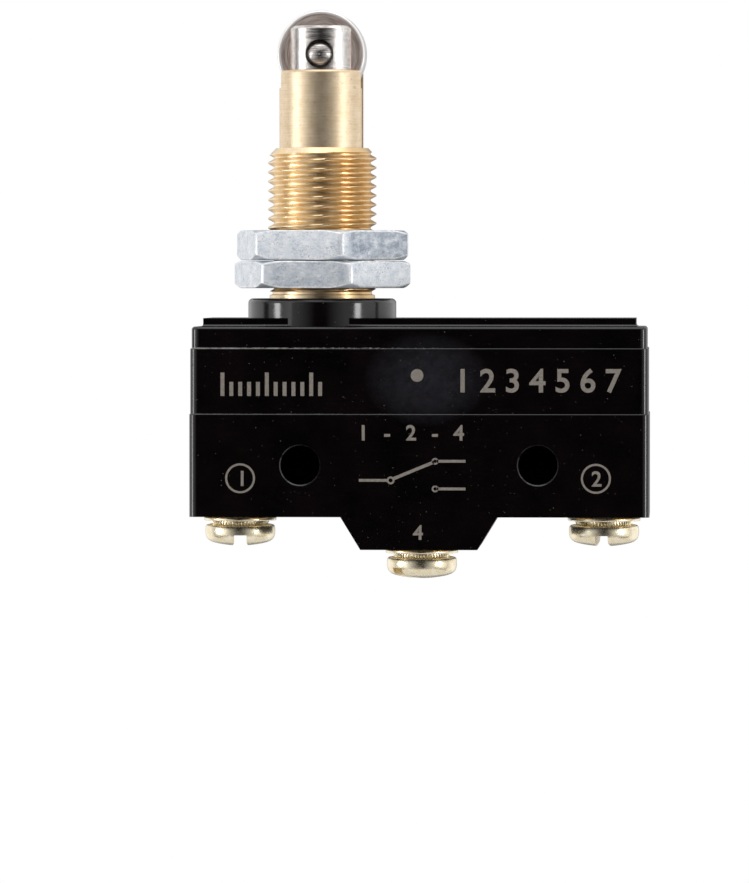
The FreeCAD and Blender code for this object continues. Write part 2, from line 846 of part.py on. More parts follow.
# Inner pin plunger: slides in the cover's guide tube and bears on the snap blade
def make_pin_plunger():
    body = new_body("pin_plunger", -plunger_offset, ZERO)
    outline = new_sketch(body, "XZ_Plane")
    radius = s.pin_diameter / 2.0
    add_profile(
        outline,
        [
            (ZERO, pin_tip),
            (s.pin_tip_diameter / 2.0, pin_tip),
            (s.pin_tip_diameter / 2.0, pin_tip + s.pin_tip_height),
            (radius, pin_tip + s.pin_tip_height),
            (radius, pin_flange_bottom),
            (s.pin_flange_diameter / 2.0, pin_flange_bottom),
            (s.pin_flange_diameter / 2.0, pin_flange_top),
            (radius, pin_flange_top),
            (radius, pin_top),
            (ZERO, pin_top),
        ],
    )
    turned(body, outline)
    return body


def make_spring_seat():
    body = new_body("spring_seat", -plunger_offset, ZERO)
    outline = new_sketch(body, "XZ_Plane")
    spigot = s.spring_spigot_diameter / 2.0
    rim = s.spring_seat_diameter / 2.0
    add_profile(
        outline,
        [
            (ZERO, pin_top),
            (rim, pin_top),
            (rim, seat_top),
            (spigot, seat_top),
            (spigot, seat_top + s.spring_spigot_height),
            (ZERO, seat_top + s.spring_spigot_height),
        ],
    )
    turned(body, outline)
    return body


# Overtravel spring: round wire swept along a helix between the seat and the blind end
def make_overtravel_spring():
    wire_radius = s.spring_wire.number / 2
    coil_radius = s.spring_diameter.number / 2 - wire_radius
    start = seat_top.number + wire_radius + s.fit_clearance.number
    rise = sleeve_bore_top.number - seat_top.number - 2 * (wire_radius + s.fit_clearance.number)
    helix = Part.makeHelix(rise / s.spring_coils.number, rise, coil_radius)
    section = Part.Wire(
        Part.makeCircle(wire_radius, FreeCAD.Vector(coil_radius, 0, 0), FreeCAD.Vector(0, 1, 0))
    )
    spring = doc.addObject("Part::Feature", "overtravel_spring")
    spring.Shape = Part.Wire(helix).makePipeShell([section], True, True)
    spring.Label = "overtravel_spring"
    spring.Placement = FreeCAD.Placement(
        FreeCAD.Vector(-plunger_offset.number, 0, start), FreeCAD.Rotation()
    )
    return spring


# Terminals: a tapped post through the floor, a clamping plate under the case and a strip inside
def make_terminal(label, place, foot, strip, drill=None):
    body = new_body(label)
    outline = new_sketch(body, "XZ_Plane")
    add_profile(outline, strip)
    pad(body, outline, s.post_width, symmetric=True)
    plate = new_sketch(body, "XY_Plane", foot - s.plate_thickness)
    add_block(plate, s.plate_length, s.plate_width, place)
    pad(body, plate, s.plate_thickness)
    tapped = new_sketch(body, "XY_Plane", foot - s.plate_thickness)
    add_circle(tapped, s.screw_diameter / 2.0 + s.fit_clearance, place)
    below_plate = s.washer_thickness + s.lock_washer_thickness
    pocket(body, tapped, s.screw_length - below_plate + s.seat_clearance, reverse=True)
    if drill is not None:
        radius, x, low, high = drill
        eye = new_sketch(body, "XY_Plane", high)
        add_circle(eye, radius, x)
        pocket(body, eye, high - low)
    return body


def make_common_terminal():
    near_side = -(terminal_pitch - s.post_length / 2.0)
    far_side = -(terminal_pitch + s.post_length / 2.0)
    foot = base_bottom - s.plate_thickness
    strip = [
        (far_side, foot),
        (near_side, foot),
        (near_side, -s.post_top),
        (-strip_inner, -s.post_top),
        (-strip_inner, s.shelf_level),
        (-strip_inner + s.shelf_reach, s.shelf_level),
        (-strip_inner + s.shelf_reach, shelf_top),
        (-strip_outer, shelf_top),
        (-strip_outer, -s.post_top),
        (far_side, -s.post_top),
    ]
    drill = (s.anchor_screw_diameter / 2.0 + s.fit_clearance, pivot_position, s.shelf_level, shelf_top)
    return make_terminal("common_terminal", -terminal_pitch, base_bottom, strip, drill)


def make_closed_terminal():
    near_side = terminal_pitch - s.post_length / 2.0
    far_side = terminal_pitch + s.post_length / 2.0
    foot = base_bottom - s.plate_thickness
    arm_end = contact_position - s.contact_diameter / 2.0 - s.terminal_thickness
    strip = [
        (near_side, foot),
        (far_side, foot),
        (far_side, -s.post_top),
        (strip_outer, -s.post_top),
        (strip_outer, closed_arm_top),
        (arm_end, closed_arm_top),
        (arm_end, closed_arm_bottom),
        (strip_inner, closed_arm_bottom),
        (strip_inner, -s.post_top),
        (near_side, -s.post_top),
    ]
    drill = (s.contact_rivet_diameter / 2.0 + s.fit_clearance, contact_position, closed_arm_bottom, closed_arm_top)
    return make_terminal("normally_closed_terminal", terminal_pitch, base_bottom, strip, drill)


def make_open_terminal():
    half = s.post_length / 2.0
    foot = wedge_bottom - s.plate_thickness
    strip = [
        (-half, foot),
        (half, foot),
        (half, open_arm_bottom),
        (contact_end, open_arm_bottom),
        (contact_end, open_arm_top),
        (half - s.terminal_thickness, open_arm_top),
        (half - s.terminal_thickness, -s.post_top),
        (-half, -s.post_top),
    ]
    drill = (s.contact_rivet_diameter / 2.0 + s.fit_clearance, contact_position, open_arm_bottom, open_arm_top)
    return make_terminal("normally_open_terminal", ZERO, wedge_bottom, strip, drill)


def make_washer(label, place, foot):
    body = new_body(label, place)
    ring = new_sketch(body, "XY_Plane", foot - s.plate_thickness - s.washer_thickness)
    add_circle(ring, s.washer_diameter / 2.0)
    add_circle(ring, s.screw_diameter / 2.0 + s.seat_clearance)
    pad(body, ring, s.washer_thickness)
    dress(body, "Fillet", s.washer_edge_radius, lambda edge: near(edge.BoundBox.XLength, s.washer_diameter.number))
    return body


# Lock washers: one split ring of flat wire under each screw head
def make_lock_washer(label, place, foot, turn):
    body = new_body(label, place, turn)
    level = foot - s.plate_thickness - s.washer_thickness - s.lock_washer_thickness
    ring = new_sketch(body, "XY_Plane", level)
    add_circle(ring, s.lock_washer_diameter / 2.0)
    add_circle(ring, s.screw_diameter / 2.0 + s.seat_clearance)
    pad(body, ring, s.lock_washer_thickness)
    split = new_sketch(body, "XY_Plane", level + s.lock_washer_thickness)
    half = s.lock_washer_split / 2.0
    add_rectangle(split, ZERO, s.lock_washer_diameter, -half, half)
    pocket(body, split, s.lock_washer_thickness)
    return body


# Terminal screws: slotted pan heads, a little tapered, rounded at both rims, with a domed face
def make_screw(label, place, foot, turn):
    body = new_body(label, place, turn)
    seat = foot - s.plate_thickness - s.washer_thickness - s.lock_washer_thickness
    outline = new_sketch(body, "XZ_Plane")
    shank = s.screw_diameter / 2.0
    half_foot = s.screw_head_foot / 2.0
    low = seat - s.screw_head_height
    rise = dome_rise(half_foot, s.screw_head_dome)
    add_profile(
        outline,
        [
            (ZERO, low - s.screw_head_dome, -rise),
            (half_foot, low),
            (s.screw_head_diameter / 2.0, seat - s.screw_head_dome),
            (s.screw_head_diameter / 2.0, seat),
            (shank, seat),
            (shank, seat + s.screw_length),
            (ZERO, seat + s.screw_length),
        ],
    )
    turned(body, outline)
    dress(
        body,
        "Fillet",
        s.screw_head_top_radius,
        lambda edge: at_level(edge, seat) and near(edge.BoundBox.XLength, s.screw_head_diameter.number),
    )
    dress(body, "Fillet", s.screw_head_foot_radius, lambda edge: at_level(edge, low))
    slot = new_sketch(body, "XZ_Plane")
    half = s.screw_slot_width / 2.0
    face = low - s.screw_head_dome
    add_rectangle(slot, -half, half, face - s.seat_clearance, face + s.screw_slot_depth)
    pocket(body, slot, s.screw_head_diameter * 2.0, symmetric=True)
    return body


# Snap blade: one spring leaf, two outer legs in tension and a bowed tongue in compression
def make_snap_blade():
    body = new_body("snap_blade")
    start = pivot_position - s.blade_tail
    end = contact_position + s.blade_nose
    half = s.blade_width / 2.0
    leaf = new_sketch(body, "XY_Plane", blade_bottom)
    add_rectangle(leaf, start, end, -half, half)
    pad(body, leaf, s.blade_thickness)
    dress(body, "Fillet", s.corner_radius, lambda edge: is_upright(edge))
    inner = half - s.blade_leg_width
    windows = new_sketch(body, "XY_Plane", blade_top)
    bridge_start = -(plunger_offset + s.bridge_width / 2.0)
    bridge_end = -(plunger_offset - s.bridge_width / 2.0)
    add_rectangle(windows, pivot_position + s.anchor_window_start, bridge_start, -inner, inner)
    add_rectangle(windows, bridge_end, s.tongue_root, -inner, inner)
    pocket(body, windows, s.blade_thickness)
    eyes = new_sketch(body, "XY_Plane", blade_top)
    add_circle(eyes, s.anchor_screw_diameter / 2.0 + s.running_clearance * 3.0, pivot_position)
    add_circle(eyes, s.contact_rivet_diameter / 2.0 + s.fit_clearance, contact_position)
    pocket(body, eyes, s.blade_thickness)
    tongue = new_sketch(body, "XZ_Plane")
    root = s.tongue_root + s.blade_thickness
    tip_low = blade_bottom - s.tongue_drop
    add_profile(
        tongue,
        [
            (root, blade_bottom, -s.tongue_bow),
            (-s.tongue_tip, tip_low),
            (-s.tongue_tip, tip_low + s.blade_thickness, s.tongue_bow),
            (root, blade_top),
        ],
    )
    pad(body, tongue, s.tongue_width, symmetric=True)
    return body


# Tension bracket: carries the V notch that the tongue's tip bears in
def make_tension_bracket():
    body = new_body("tension_bracket")
    side = new_sketch(body, "XZ_Plane")
    low = s.shelf_level - s.bracket_thickness
    mouth = -s.tongue_tip + s.seat_clearance * 2.0
    root = mouth - s.notch_depth
    back = root - s.notch_wall
    tip_middle = blade_bottom - s.tongue_drop + s.blade_thickness / 2.0
    start = -strip_inner + s.seat_clearance
    add_profile(
        side,
        [
            (start, low),
            (mouth, low),
            (mouth, tip_middle - s.notch_height / 2.0),
            (root, tip_middle),
            (mouth, tip_middle + s.notch_height / 2.0),
            (back, tip_middle + s.notch_height / 2.0),
            (back, s.shelf_level),
            (start, s.shelf_level),
        ],
    )
    pad(body, side, s.tongue_width, symmetric=True)
    eye = new_sketch(body, "XY_Plane", s.shelf_level)
    add_circle(eye, s.anchor_screw_diameter / 2.0 + s.fit_clearance, pivot_position)
    pocket(body, eye, s.bracket_thickness)
    return body


def make_anchor_screw():
    body = new_body("anchor_screw", pivot_position)
    outline = new_sketch(body, "XZ_Plane")
    shank = s.anchor_screw_diameter / 2.0
    head = s.anchor_head_diameter / 2.0
    seat = blade_top + s.blade_lift
    low = s.shelf_level - s.bracket_thickness
    add_profile(
        outline,
        [
            (ZERO, low),
            (shank, low),
            (shank, seat),
            (head, seat),
            (head, seat + s.anchor_head_height),
            (ZERO, seat + s.anchor_head_height),
        ],
    )
    turned(body, outline)
    return body


# Contacts: riveted buttons, one through the blade and one in each fixed arm
def make_moving_contact():
    body = new_body("moving_contact", contact_position)
    outline = new_sketch(body, "XZ_Plane")
    button = s.contact_diameter / 2.0
    rivet = s.contact_rivet_diameter / 2.0
    add_profile(
        outline,
        [
            (ZERO, blade_bottom - s.moving_contact_height),
            (button, blade_bottom - s.moving_contact_height),
            (button, blade_bottom),
            (rivet, blade_bottom),
            (rivet, blade_top),
            (button, blade_top),
            (button, blade_top + s.moving_contact_height),
            (ZERO, blade_top + s.moving_contact_height),
        ],
    )
    turned(body, outline)
    return body


def make_fixed_contact(label, face, seat, far):
    body = new_body(label, contact_position)
    outline = new_sketch(body, "XZ_Plane")
    button = s.contact_diameter / 2.0
    rivet = s.contact_rivet_diameter / 2.0
    add_profile(
        outline,
        [(ZERO, face), (button, face), (button, seat), (rivet, seat), (rivet, far), (ZERO, far)],
    )
    turned(body, outline)
    return body


parts.append(make_case_base())
parts.append(make_case_frame())
parts.append(make_cover_with_seat())
parts.append(make_bushing())
parts.append(make_guide_key())
parts.append(make_nut("lower_nut", lower_nut_bottom, s.lower_nut_height, s.lower_nut_turn))
parts.append(make_nut("upper_nut", upper_nut_bottom, s.upper_nut_height, s.upper_nut_turn))
parts.append(make_sleeve())
parts.append(make_fork())
parts.append(make_roller())
parts.append(make_roller_pin())
parts.append(make_pin_plunger())
parts.append(make_spring_seat())
parts.append(make_overtravel_spring())
parts.append(make_common_terminal())
parts.append(make_open_terminal())
parts.append(make_closed_terminal())
for name, place, foot, turn in (
    ("common", -terminal_pitch, base_bottom, s.common_screw_turn),
    ("normally_open", ZERO, wedge_bottom, s.open_screw_turn),
    ("normally_closed", terminal_pitch, base_bottom, s.closed_screw_turn),
):
    parts.append(make_washer(name + "_washer", place, foot))
    parts.append(make_lock_washer(name + "_lock_washer", place, foot, turn))
    parts.append(make_screw(name + "_screw", place, foot, turn))
parts.append(make_snap_blade())
parts.append(make_tension_bracket())
parts.append(make_anchor_screw())
parts.append(make_moving_contact())
parts.append(make_fixed_contact("normally_closed_contact", closed_face, closed_arm_bottom, closed_arm_top))
parts.append(make_fixed_contact("normally_open_contact", open_face, open_arm_top, open_arm_bottom))

doc.recompute()
for item in doc.Objects:
    if "Invalid" in item.State or "Error" in item.State:
        raise ValueError("%s did not build: %s" % (item.Label, item.State))
for part in parts:
    if part.Shape.isNull() or not part.Shape.isValid():
        raise ValueError(part.Label + " has no valid shape")

os.makedirs("parts", exist_ok=True)
for part in parts:
    part.Shape.exportStep(os.path.join("parts", part.Label + ".step"))
    print(part.Label, round(part.Shape.Volume, 3), len(part.Shape.Solids), part.Shape.BoundBox)
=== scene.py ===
"""Looks of the panel-mount roller plunger snap-action switch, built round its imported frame.

Metres, Z up, X along the case, Y towards its back, origin between the two mounting holes.
"""

import math

import bmesh
import bpy
from mathutils import Matrix, Vector


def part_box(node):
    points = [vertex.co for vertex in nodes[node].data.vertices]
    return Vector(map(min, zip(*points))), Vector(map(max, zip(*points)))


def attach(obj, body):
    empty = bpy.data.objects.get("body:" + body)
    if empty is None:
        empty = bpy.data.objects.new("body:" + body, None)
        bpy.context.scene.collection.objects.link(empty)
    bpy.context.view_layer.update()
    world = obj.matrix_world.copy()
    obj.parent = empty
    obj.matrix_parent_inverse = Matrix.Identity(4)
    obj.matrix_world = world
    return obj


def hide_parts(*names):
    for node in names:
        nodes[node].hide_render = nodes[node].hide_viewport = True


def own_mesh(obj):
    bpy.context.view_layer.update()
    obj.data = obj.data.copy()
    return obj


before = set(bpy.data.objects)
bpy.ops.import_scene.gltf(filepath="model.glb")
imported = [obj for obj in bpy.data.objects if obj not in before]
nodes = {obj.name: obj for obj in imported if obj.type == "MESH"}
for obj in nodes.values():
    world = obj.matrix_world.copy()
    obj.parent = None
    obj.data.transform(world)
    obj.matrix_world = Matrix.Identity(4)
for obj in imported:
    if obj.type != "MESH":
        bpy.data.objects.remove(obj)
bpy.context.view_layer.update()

MM = 0.001
AXIS_X = -10.78 * MM
SLOT_WIDTH = 1.36 * MM
ROLLER_LEVEL = 44.1
# Terminals: place across in millimetres, turn of the screw's slot in degrees, level of the screw's seat
TERMINALS = (("common", -19.68, 4.0, -6.6),
             ("normally_open", 0.0, -44.0, -10.09),
             ("normally_closed", 19.68, -4.0, -6.6))


# Camera: the photograph was taken from about 670 mm, a little right of the case's middle
# and level with the nuts

CAMERA_PLACE = (26.7 * MM, -669.0 * MM, 19.6 * MM)
CAMERA_AIM = (-5.135 * MM, 0.0, 2.324 * MM)
CAMERA_LENS = 252.6


def add_camera():
    data = bpy.data.cameras.new("camera")
    data.lens = CAMERA_LENS
    data.sensor_width = 36.0
    data.clip_start = 0.01
    data.clip_end = 20.0
    camera = bpy.data.objects.new("camera", data)
    camera.location = CAMERA_PLACE
    towards = Vector(CAMERA_AIM) - Vector(CAMERA_PLACE)
    camera.rotation_euler = towards.to_track_quat("-Z", "Y").to_euler()
    bpy.context.scene.collection.objects.link(camera)
    bpy.context.scene.camera = camera


# Node helpers

def new_material(name):
    material = bpy.data.materials.new(name)
    material.use_nodes = True
    tree = material.node_tree
    shader = tree.nodes["Principled BSDF"]
    return material, tree, shader


def node(tree, kind, inputs=None, **settings):
    made = tree.nodes.new(kind)
    for key, value in settings.items():
        setattr(made, key, value)
    for key, value in (inputs or {}).items():
        if isinstance(value, bpy.types.NodeSocket):
            tree.links.new(value, made.inputs[key])
        else:
            made.inputs[key].default_value = value
    return made


def math_node(tree, operation, a, b=None, clamp=False):
    made = node(tree, "ShaderNodeMath", operation=operation, use_clamp=clamp)
    for index, value in enumerate((a, b)):
        if value is None:
            continue
        if isinstance(value, bpy.types.NodeSocket):
            tree.links.new(value, made.inputs[index])
        else:
            made.inputs[index].default_value = value
    return made.outputs[0]


def square_sum(tree, a, b):
    first = math_node(tree, "MULTIPLY", a, a)
    return math_node(tree, "ADD", first, math_node(tree, "MULTIPLY", b, b))


def in_mm(tree, stretch=(1.0, 1.0, 1.0)):
    """Place on the piece, in millimetres, with each axis stretched."""
    coordinates = node(tree, "ShaderNodeTexCoord")
    mapping = node(tree, "ShaderNodeMapping", {"Vector": coordinates.outputs["Object"]})
    mapping.inputs["Scale"].default_value = [1000.0 * s for s in stretch]
    return mapping.outputs[0]


def round_axis(tree, centre_x, arc=1.0, along=1.0):
    """Place on a turned piece: way round it, height, and distance from its upright axis, in millimetres."""
    parts = node(tree, "ShaderNodeSeparateXYZ", {0: in_mm(tree)})
    x = math_node(tree, "SUBTRACT", parts.outputs[0], centre_x * 1000.0)
    back = math_node(tree, "MULTIPLY", parts.outputs[1], -1.0)
    angle = math_node(tree, "ARCTAN2", x, back)
    radius = math_node(tree, "SQRT", square_sum(tree, x, back))
    way = math_node(tree, "MULTIPLY", angle, arc)
    height = math_node(tree, "MULTIPLY", parts.outputs[2], along)
    joined = node(tree, "ShaderNodeCombineXYZ", {0: way, 1: height, 2: radius})
    return joined.outputs[0]


def noise(tree, vector, scale, detail=3.0, roughness=0.5):
    made = node(tree, "ShaderNodeTexNoise", {"Vector": vector, "Scale": scale, "Detail": detail,
                                             "Roughness": roughness})
    return made.outputs["Fac"]


def spread(tree, value, low, high, out_low, out_high):
    made = node(tree, "ShaderNodeMapRange", {0: value, 1: low, 2: high, 3: out_low, 4: out_high}, clamp=True)
    return made.outputs[0]


def colour_mix(tree, factor, first, second):
    made = node(tree, "ShaderNodeMix", data_type="RGBA")
    made.inputs[0].default_value = 0.5
    if isinstance(factor, bpy.types.NodeSocket):
        tree.links.new(factor, made.inputs[0])
    else:
        made.inputs[0].default_value = factor
    for index, value in ((6, first), (7, second)):
        if isinstance(value, bpy.types.NodeSocket):
            tree.links.new(value, made.inputs[index])
        else:
            made.inputs[index].default_value = value
    return made.outputs[2]


def drift(tree, value, low, high, first, second):
    """A colour that goes from the first to the second as a value goes from low to high."""
    return colour_mix(tree, spread(tree, value, low, high, 0.0, 1.0), first, second)


def bump(tree, height, strength, distance, normal=None):
    made = node(tree, "ShaderNodeBump", {"Height": height, "Strength": strength, "Distance": distance})
    if normal is not None:
        tree.links.new(normal, made.inputs["Normal"])
    return made.outputs[0]


def srgb(red, green, blue):
    """A colour written as it looks, as the linear colour that the shader wants."""
    def one(value):
        share = value / 255.0
        return share / 12.92 if share <= 0.04045 else ((share + 0.055) / 1.055) ** 2.4
    return (one(red), one(green), one(blue), 1.0)


# Materials

def specks(tree, scale, size, share, seed):
    """Sparse round specks: 1 in a speck and 0 elsewhere."""
    moved = node(tree, "ShaderNodeVectorMath", operation="ADD")
    tree.links.new(in_mm(tree), moved.inputs[0])
    moved.inputs[1].default_value = (seed, 2.0 * seed, 3.0 * seed)
    cells = node(tree, "ShaderNodeTexVoronoi", {"Vector": moved.outputs[0], "Scale": scale})
    near = math_node(tree, "LESS_THAN", cells.outputs["Distance"], size)
    pick = node(tree, "ShaderNodeSeparateColor", {0: cells.outputs["Color"]})
    chosen = math_node(tree, "LESS_THAN", pick.outputs[0], share)
    return math_node(tree, "MULTIPLY", near, chosen)


def seam_dust(tree, level, half, seed, low, high):
    """Broken pale line of dust along a seam at one level: 1 on the line and 0 away from it."""
    place = in_mm(tree)
    parts = node(tree, "ShaderNodeSeparateXYZ", {0: place})
    away = math_node(tree, "ABSOLUTE", math_node(tree, "SUBTRACT", parts.outputs[2], level))
    line = spread(tree, away, half * 0.4, half, 1.0, 0.0)
    moved = node(tree, "ShaderNodeVectorMath", operation="ADD")
    tree.links.new(in_mm(tree, (1.0, 1.0, 0.2)), moved.inputs[0])
    moved.inputs[1].default_value = (seed, 0.0, 0.0)
    broken = noise(tree, moved.outputs[0], 2.1, 8.0, 0.85)
    leftwards = spread(tree, parts.outputs[0], -24.0, 10.0, 0.12, -0.08)
    shown = spread(tree, math_node(tree, "ADD", broken, leftwards), low, high, 0.0, 1.0)
    return math_node(tree, "MULTIPLY", line, shown)


def phenolic_material():
    material, tree, shader = new_material("phenolic")
    cloud = noise(tree, in_mm(tree), 0.22, 4.0)
    base = drift(tree, cloud, 0.35, 0.65, srgb(2, 1, 1), srgb(8, 4, 5))
    grain = noise(tree, in_mm(tree), 7.0, 5.0, 0.7)
    grained = colour_mix(tree, spread(tree, grain, 0.62, 0.80, 0.0, 0.30), base, srgb(44, 38, 36))
    dust = math_node(tree, "MAXIMUM", specks(tree, 1.1, 0.06, 0.45, 3.0), specks(tree, 2.6, 0.09, 0.22, 11.0))
    dusty = colour_mix(tree, math_node(tree, "MULTIPLY", dust, 0.40), grained, srgb(120, 112, 104))
    upper_seam = math_node(tree, "MULTIPLY", seam_dust(tree, 12.5, 0.10, 4.0, 0.50, 0.74), 0.62)
    lower_seam = math_node(tree, "MULTIPLY", seam_dust(tree, 5.48, 0.08, 9.0, 0.50, 0.80), 0.45)
    seamed = colour_mix(tree, upper_seam, dusty, srgb(206, 202, 198))
    seamed = colour_mix(tree, lower_seam, seamed, srgb(120, 118, 118))
    # Painted reflection: a faint bluish-grey glow on the front faces round a point near the moulding dot, broken
    # up by noise.
    place = node(tree, "ShaderNodeSeparateXYZ", {0: in_mm(tree)})
    across = math_node(tree, "MULTIPLY", math_node(tree, "SUBTRACT", place.outputs[0], 0.8), 0.75)
    upwards = math_node(tree, "SUBTRACT", place.outputs[2], 9.2)
    painted_reflection = spread(tree, square_sum(tree, across, upwards), 0.0, 26.0, 0.30, 0.0)
    reflection_mottle = spread(tree, noise(tree, in_mm(tree), 1.2, 6.0, 0.7), 0.3, 0.7, 0.4, 1.0)
    painted_reflection = math_node(tree, "MULTIPLY", painted_reflection, reflection_mottle)
    seamed = colour_mix(tree, painted_reflection, seamed, srgb(66, 66, 74))
    tree.links.new(seamed, shader.inputs["Base Color"])
    wipe = noise(tree, in_mm(tree, (0.35, 0.35, 2.4)), 1.3, 4.0, 0.6)
    rough = spread(tree, wipe, 0.30, 0.75, 0.09, 0.19)
    tree.links.new(rough, shader.inputs["Roughness"])
    shader.inputs["IOR"].default_value = 1.55
    shader.inputs["Specular IOR Level"].default_value = 0.55
    fine = bump(tree, noise(tree, in_mm(tree), 5.0, 3.0), 0.20, 0.000006)
    wavy = bump(tree, noise(tree, in_mm(tree), 0.35, 2.0), 0.35, 0.00003, fine)
    tree.links.new(wavy, shader.inputs["Normal"])
    return material


def turned_metal(name, first, second, rough_low, rough_high, centre_x=AXIS_X, groove=0.000004,
                 groove_strength=0.5, spots=None, right_side_tone=None):
    """Metal turned on a lathe: fine marks run round it. The last colour, if given, is laid on more and more
    towards the right of the axis.
    """
    material, tree, shader = new_material(name)
    shader.inputs["Metallic"].default_value = 1.0
    marks = noise(tree, round_axis(tree, centre_x, 0.5, 9.0), 1.6, 4.0, 0.7)
    cloud = noise(tree, in_mm(tree), 0.7, 5.0, 0.62)
    base = drift(tree, cloud, 0.32, 0.68, first, second)
    if spots is not None:
        stain = noise(tree, in_mm(tree), 1.9, 6.0, 0.7)
        base = colour_mix(tree, spread(tree, stain, 0.56, 0.74, 0.0, 0.7), base, spots)
        streak = noise(tree, round_axis(tree, centre_x, 1.1, 5.0), 1.3, 6.0, 0.78)
        base = colour_mix(tree, spread(tree, streak, 0.44, 0.68, 0.0, 0.45), base, spots)
    if right_side_tone is not None:
        place = node(tree, "ShaderNodeSeparateXYZ", {0: in_mm(tree)})
        offset = math_node(tree, "SUBTRACT", place.outputs[0], centre_x * 1000.0)
        base = colour_mix(tree, spread(tree, offset, -0.5, 3.0, 0.0, 0.75), base, right_side_tone)
    tree.links.new(base, shader.inputs["Base Color"])
    scratch = noise(tree, round_axis(tree, centre_x, 2.2, 2.2), 3.0, 6.0, 0.75)
    tree.links.new(spread(tree, scratch, 0.3, 0.75, rough_low, rough_high), shader.inputs["Roughness"])
    rings = bump(tree, marks, groove_strength, groove)
    dents = bump(tree, noise(tree, in_mm(tree), 2.6, 5.0, 0.7), 0.35, 0.000006, rings)
    tree.links.new(dents, shader.inputs["Normal"])
    return material


def zinc_material():
    """Bright zinc with a blue passivation: milky patches and faint brushing, with painted shade on some nut
    faces.
    """
    material, tree, shader = new_material("zinc_plated_steel")
    shader.inputs["Metallic"].default_value = 0.55
    cloud = noise(tree, in_mm(tree), 0.8, 6.0, 0.68)
    base = drift(tree, cloud, 0.35, 0.66, srgb(216, 222, 230), srgb(246, 248, 250))
    stain = noise(tree, in_mm(tree, (1.0, 1.0, 2.0)), 1.9, 7.0, 0.75)
    base = colour_mix(tree, spread(tree, stain, 0.52, 0.74, 0.0, 0.75), base, srgb(150, 160, 172))
    # Painted shade: the right-hand faces of the upper nut and the middle of the lower nut, picked by place
    # across, are darkened and broken up by noise.
    place = node(tree, "ShaderNodeSeparateXYZ", {0: in_mm(tree)})
    right = spread(tree, place.outputs[0], -8.0, -7.0, 0.0, 1.0)
    inner = spread(tree, place.outputs[0], -17.6, -16.0, 0.0, 0.55)
    upper = spread(tree, place.outputs[2], 21.8, 22.0, 0.0, 1.0)
    painted_face_shade = math_node(tree, "ADD", math_node(tree, "MULTIPLY", right, upper),
                     math_node(tree, "MULTIPLY", math_node(tree, "SUBTRACT", 1.0, upper),
                               math_node(tree, "SUBTRACT", inner, right, True)))
    face_shade_mottle = spread(tree, noise(tree, in_mm(tree, (1.0, 1.0, 1.6)), 0.9, 7.0, 0.72), 0.36, 0.60, 0.25, 1.0)
    face_shade_amount = math_node(tree, "MULTIPLY", math_node(tree, "MULTIPLY", painted_face_shade, face_shade_mottle), 0.72)
    base = colour_mix(tree, face_shade_amount, base, srgb(104, 117, 134))
    bloom = noise(tree, in_mm(tree, (1.0, 1.0, 1.3)), 0.55, 3.0, 0.6)
    pits = noise(tree, in_mm(tree), 5.5, 6.0, 0.8)
    spotty = math_node(tree, "MULTIPLY", spread(tree, pits, 0.50, 0.62, 0.0, 1.0),
                       spread(tree, bloom, 0.42, 0.60, 0.0, 0.62))
    base = colour_mix(tree, spotty, base, srgb(86, 106, 134))
    tree.links.new(base, shader.inputs["Base Color"])
    brush = noise(tree, in_mm(tree, (0.6, 0.6, 7.0)), 1.6, 5.0, 0.75)
    tree.links.new(spread(tree, brush, 0.3, 0.7, 0.36, 0.54), shader.inputs["Roughness"])
    first = bump(tree, brush, 0.5, 0.000010)
    second = bump(tree, noise(tree, in_mm(tree), 2.6, 5.0, 0.7), 0.7, 0.000016, first)
    tree.links.new(second, shader.inputs["Normal"])
    return material


def worn_highlight_edge_material():
    """The same zinc worn bright along the edges, with a painted highlight laid on that wear."""
    material, tree, shader = new_material("zinc_worn_highlight_edge")
    shader.inputs["Metallic"].default_value = 0.6
    wear = noise(tree, in_mm(tree), 1.7, 6.0, 0.75)
    base = drift(tree, wear, 0.38, 0.62, srgb(252, 252, 253), srgb(206, 211, 217))
    tree.links.new(base, shader.inputs["Base Color"])
    tree.links.new(spread(tree, wear, 0.3, 0.7, 0.26, 0.40), shader.inputs["Roughness"])
    tree.links.new(bump(tree, wear, 0.5, 0.000010), shader.inputs["Normal"])
    return material


def nickel_material():
    material, tree, shader = new_material("nickel_plate")
    shader.inputs["Metallic"].default_value = 1.0
    cloud = noise(tree, in_mm(tree), 1.6, 5.0, 0.65)
    base = drift(tree, cloud, 0.35, 0.65, srgb(222, 216, 212), srgb(240, 237, 233))
    # Painted reflection: a dark, streaky band down the middle, close to the plunger's axis, stands for the dark
    # front mirrored there.
    place = node(tree, "ShaderNodeSeparateXYZ", {0: in_mm(tree)})
    offset = math_node(tree, "SUBTRACT", place.outputs[0], AXIS_X * 1000.0)
    dark_reflection_streaks = spread(tree, noise(tree, in_mm(tree, (0.55, 0.55, 6.0)), 1.3, 6.0, 0.75), 0.36, 0.66, 0.30, 1.0)
    away = math_node(tree, "ABSOLUTE", math_node(tree, "ADD", offset, 0.1))
    middle = spread(tree, away, 0.9, 1.9, 0.90, 0.30)
    base = colour_mix(tree, math_node(tree, "MULTIPLY", dark_reflection_streaks, middle), base, srgb(96, 88, 86))
    tree.links.new(base, shader.inputs["Base Color"])
    scratch = noise(tree, in_mm(tree, (0.5, 0.5, 5.0)), 2.4, 6.0, 0.80)
    tree.links.new(spread(tree, scratch, 0.3, 0.75, 0.12, 0.26), shader.inputs["Roughness"])
    first = bump(tree, scratch, 0.9, 0.000022)
    second = bump(tree, noise(tree, in_mm(tree), 2.2, 4.0, 0.6), 0.4, 0.000007, first)
    tree.links.new(second, shader.inputs["Normal"])
    return material


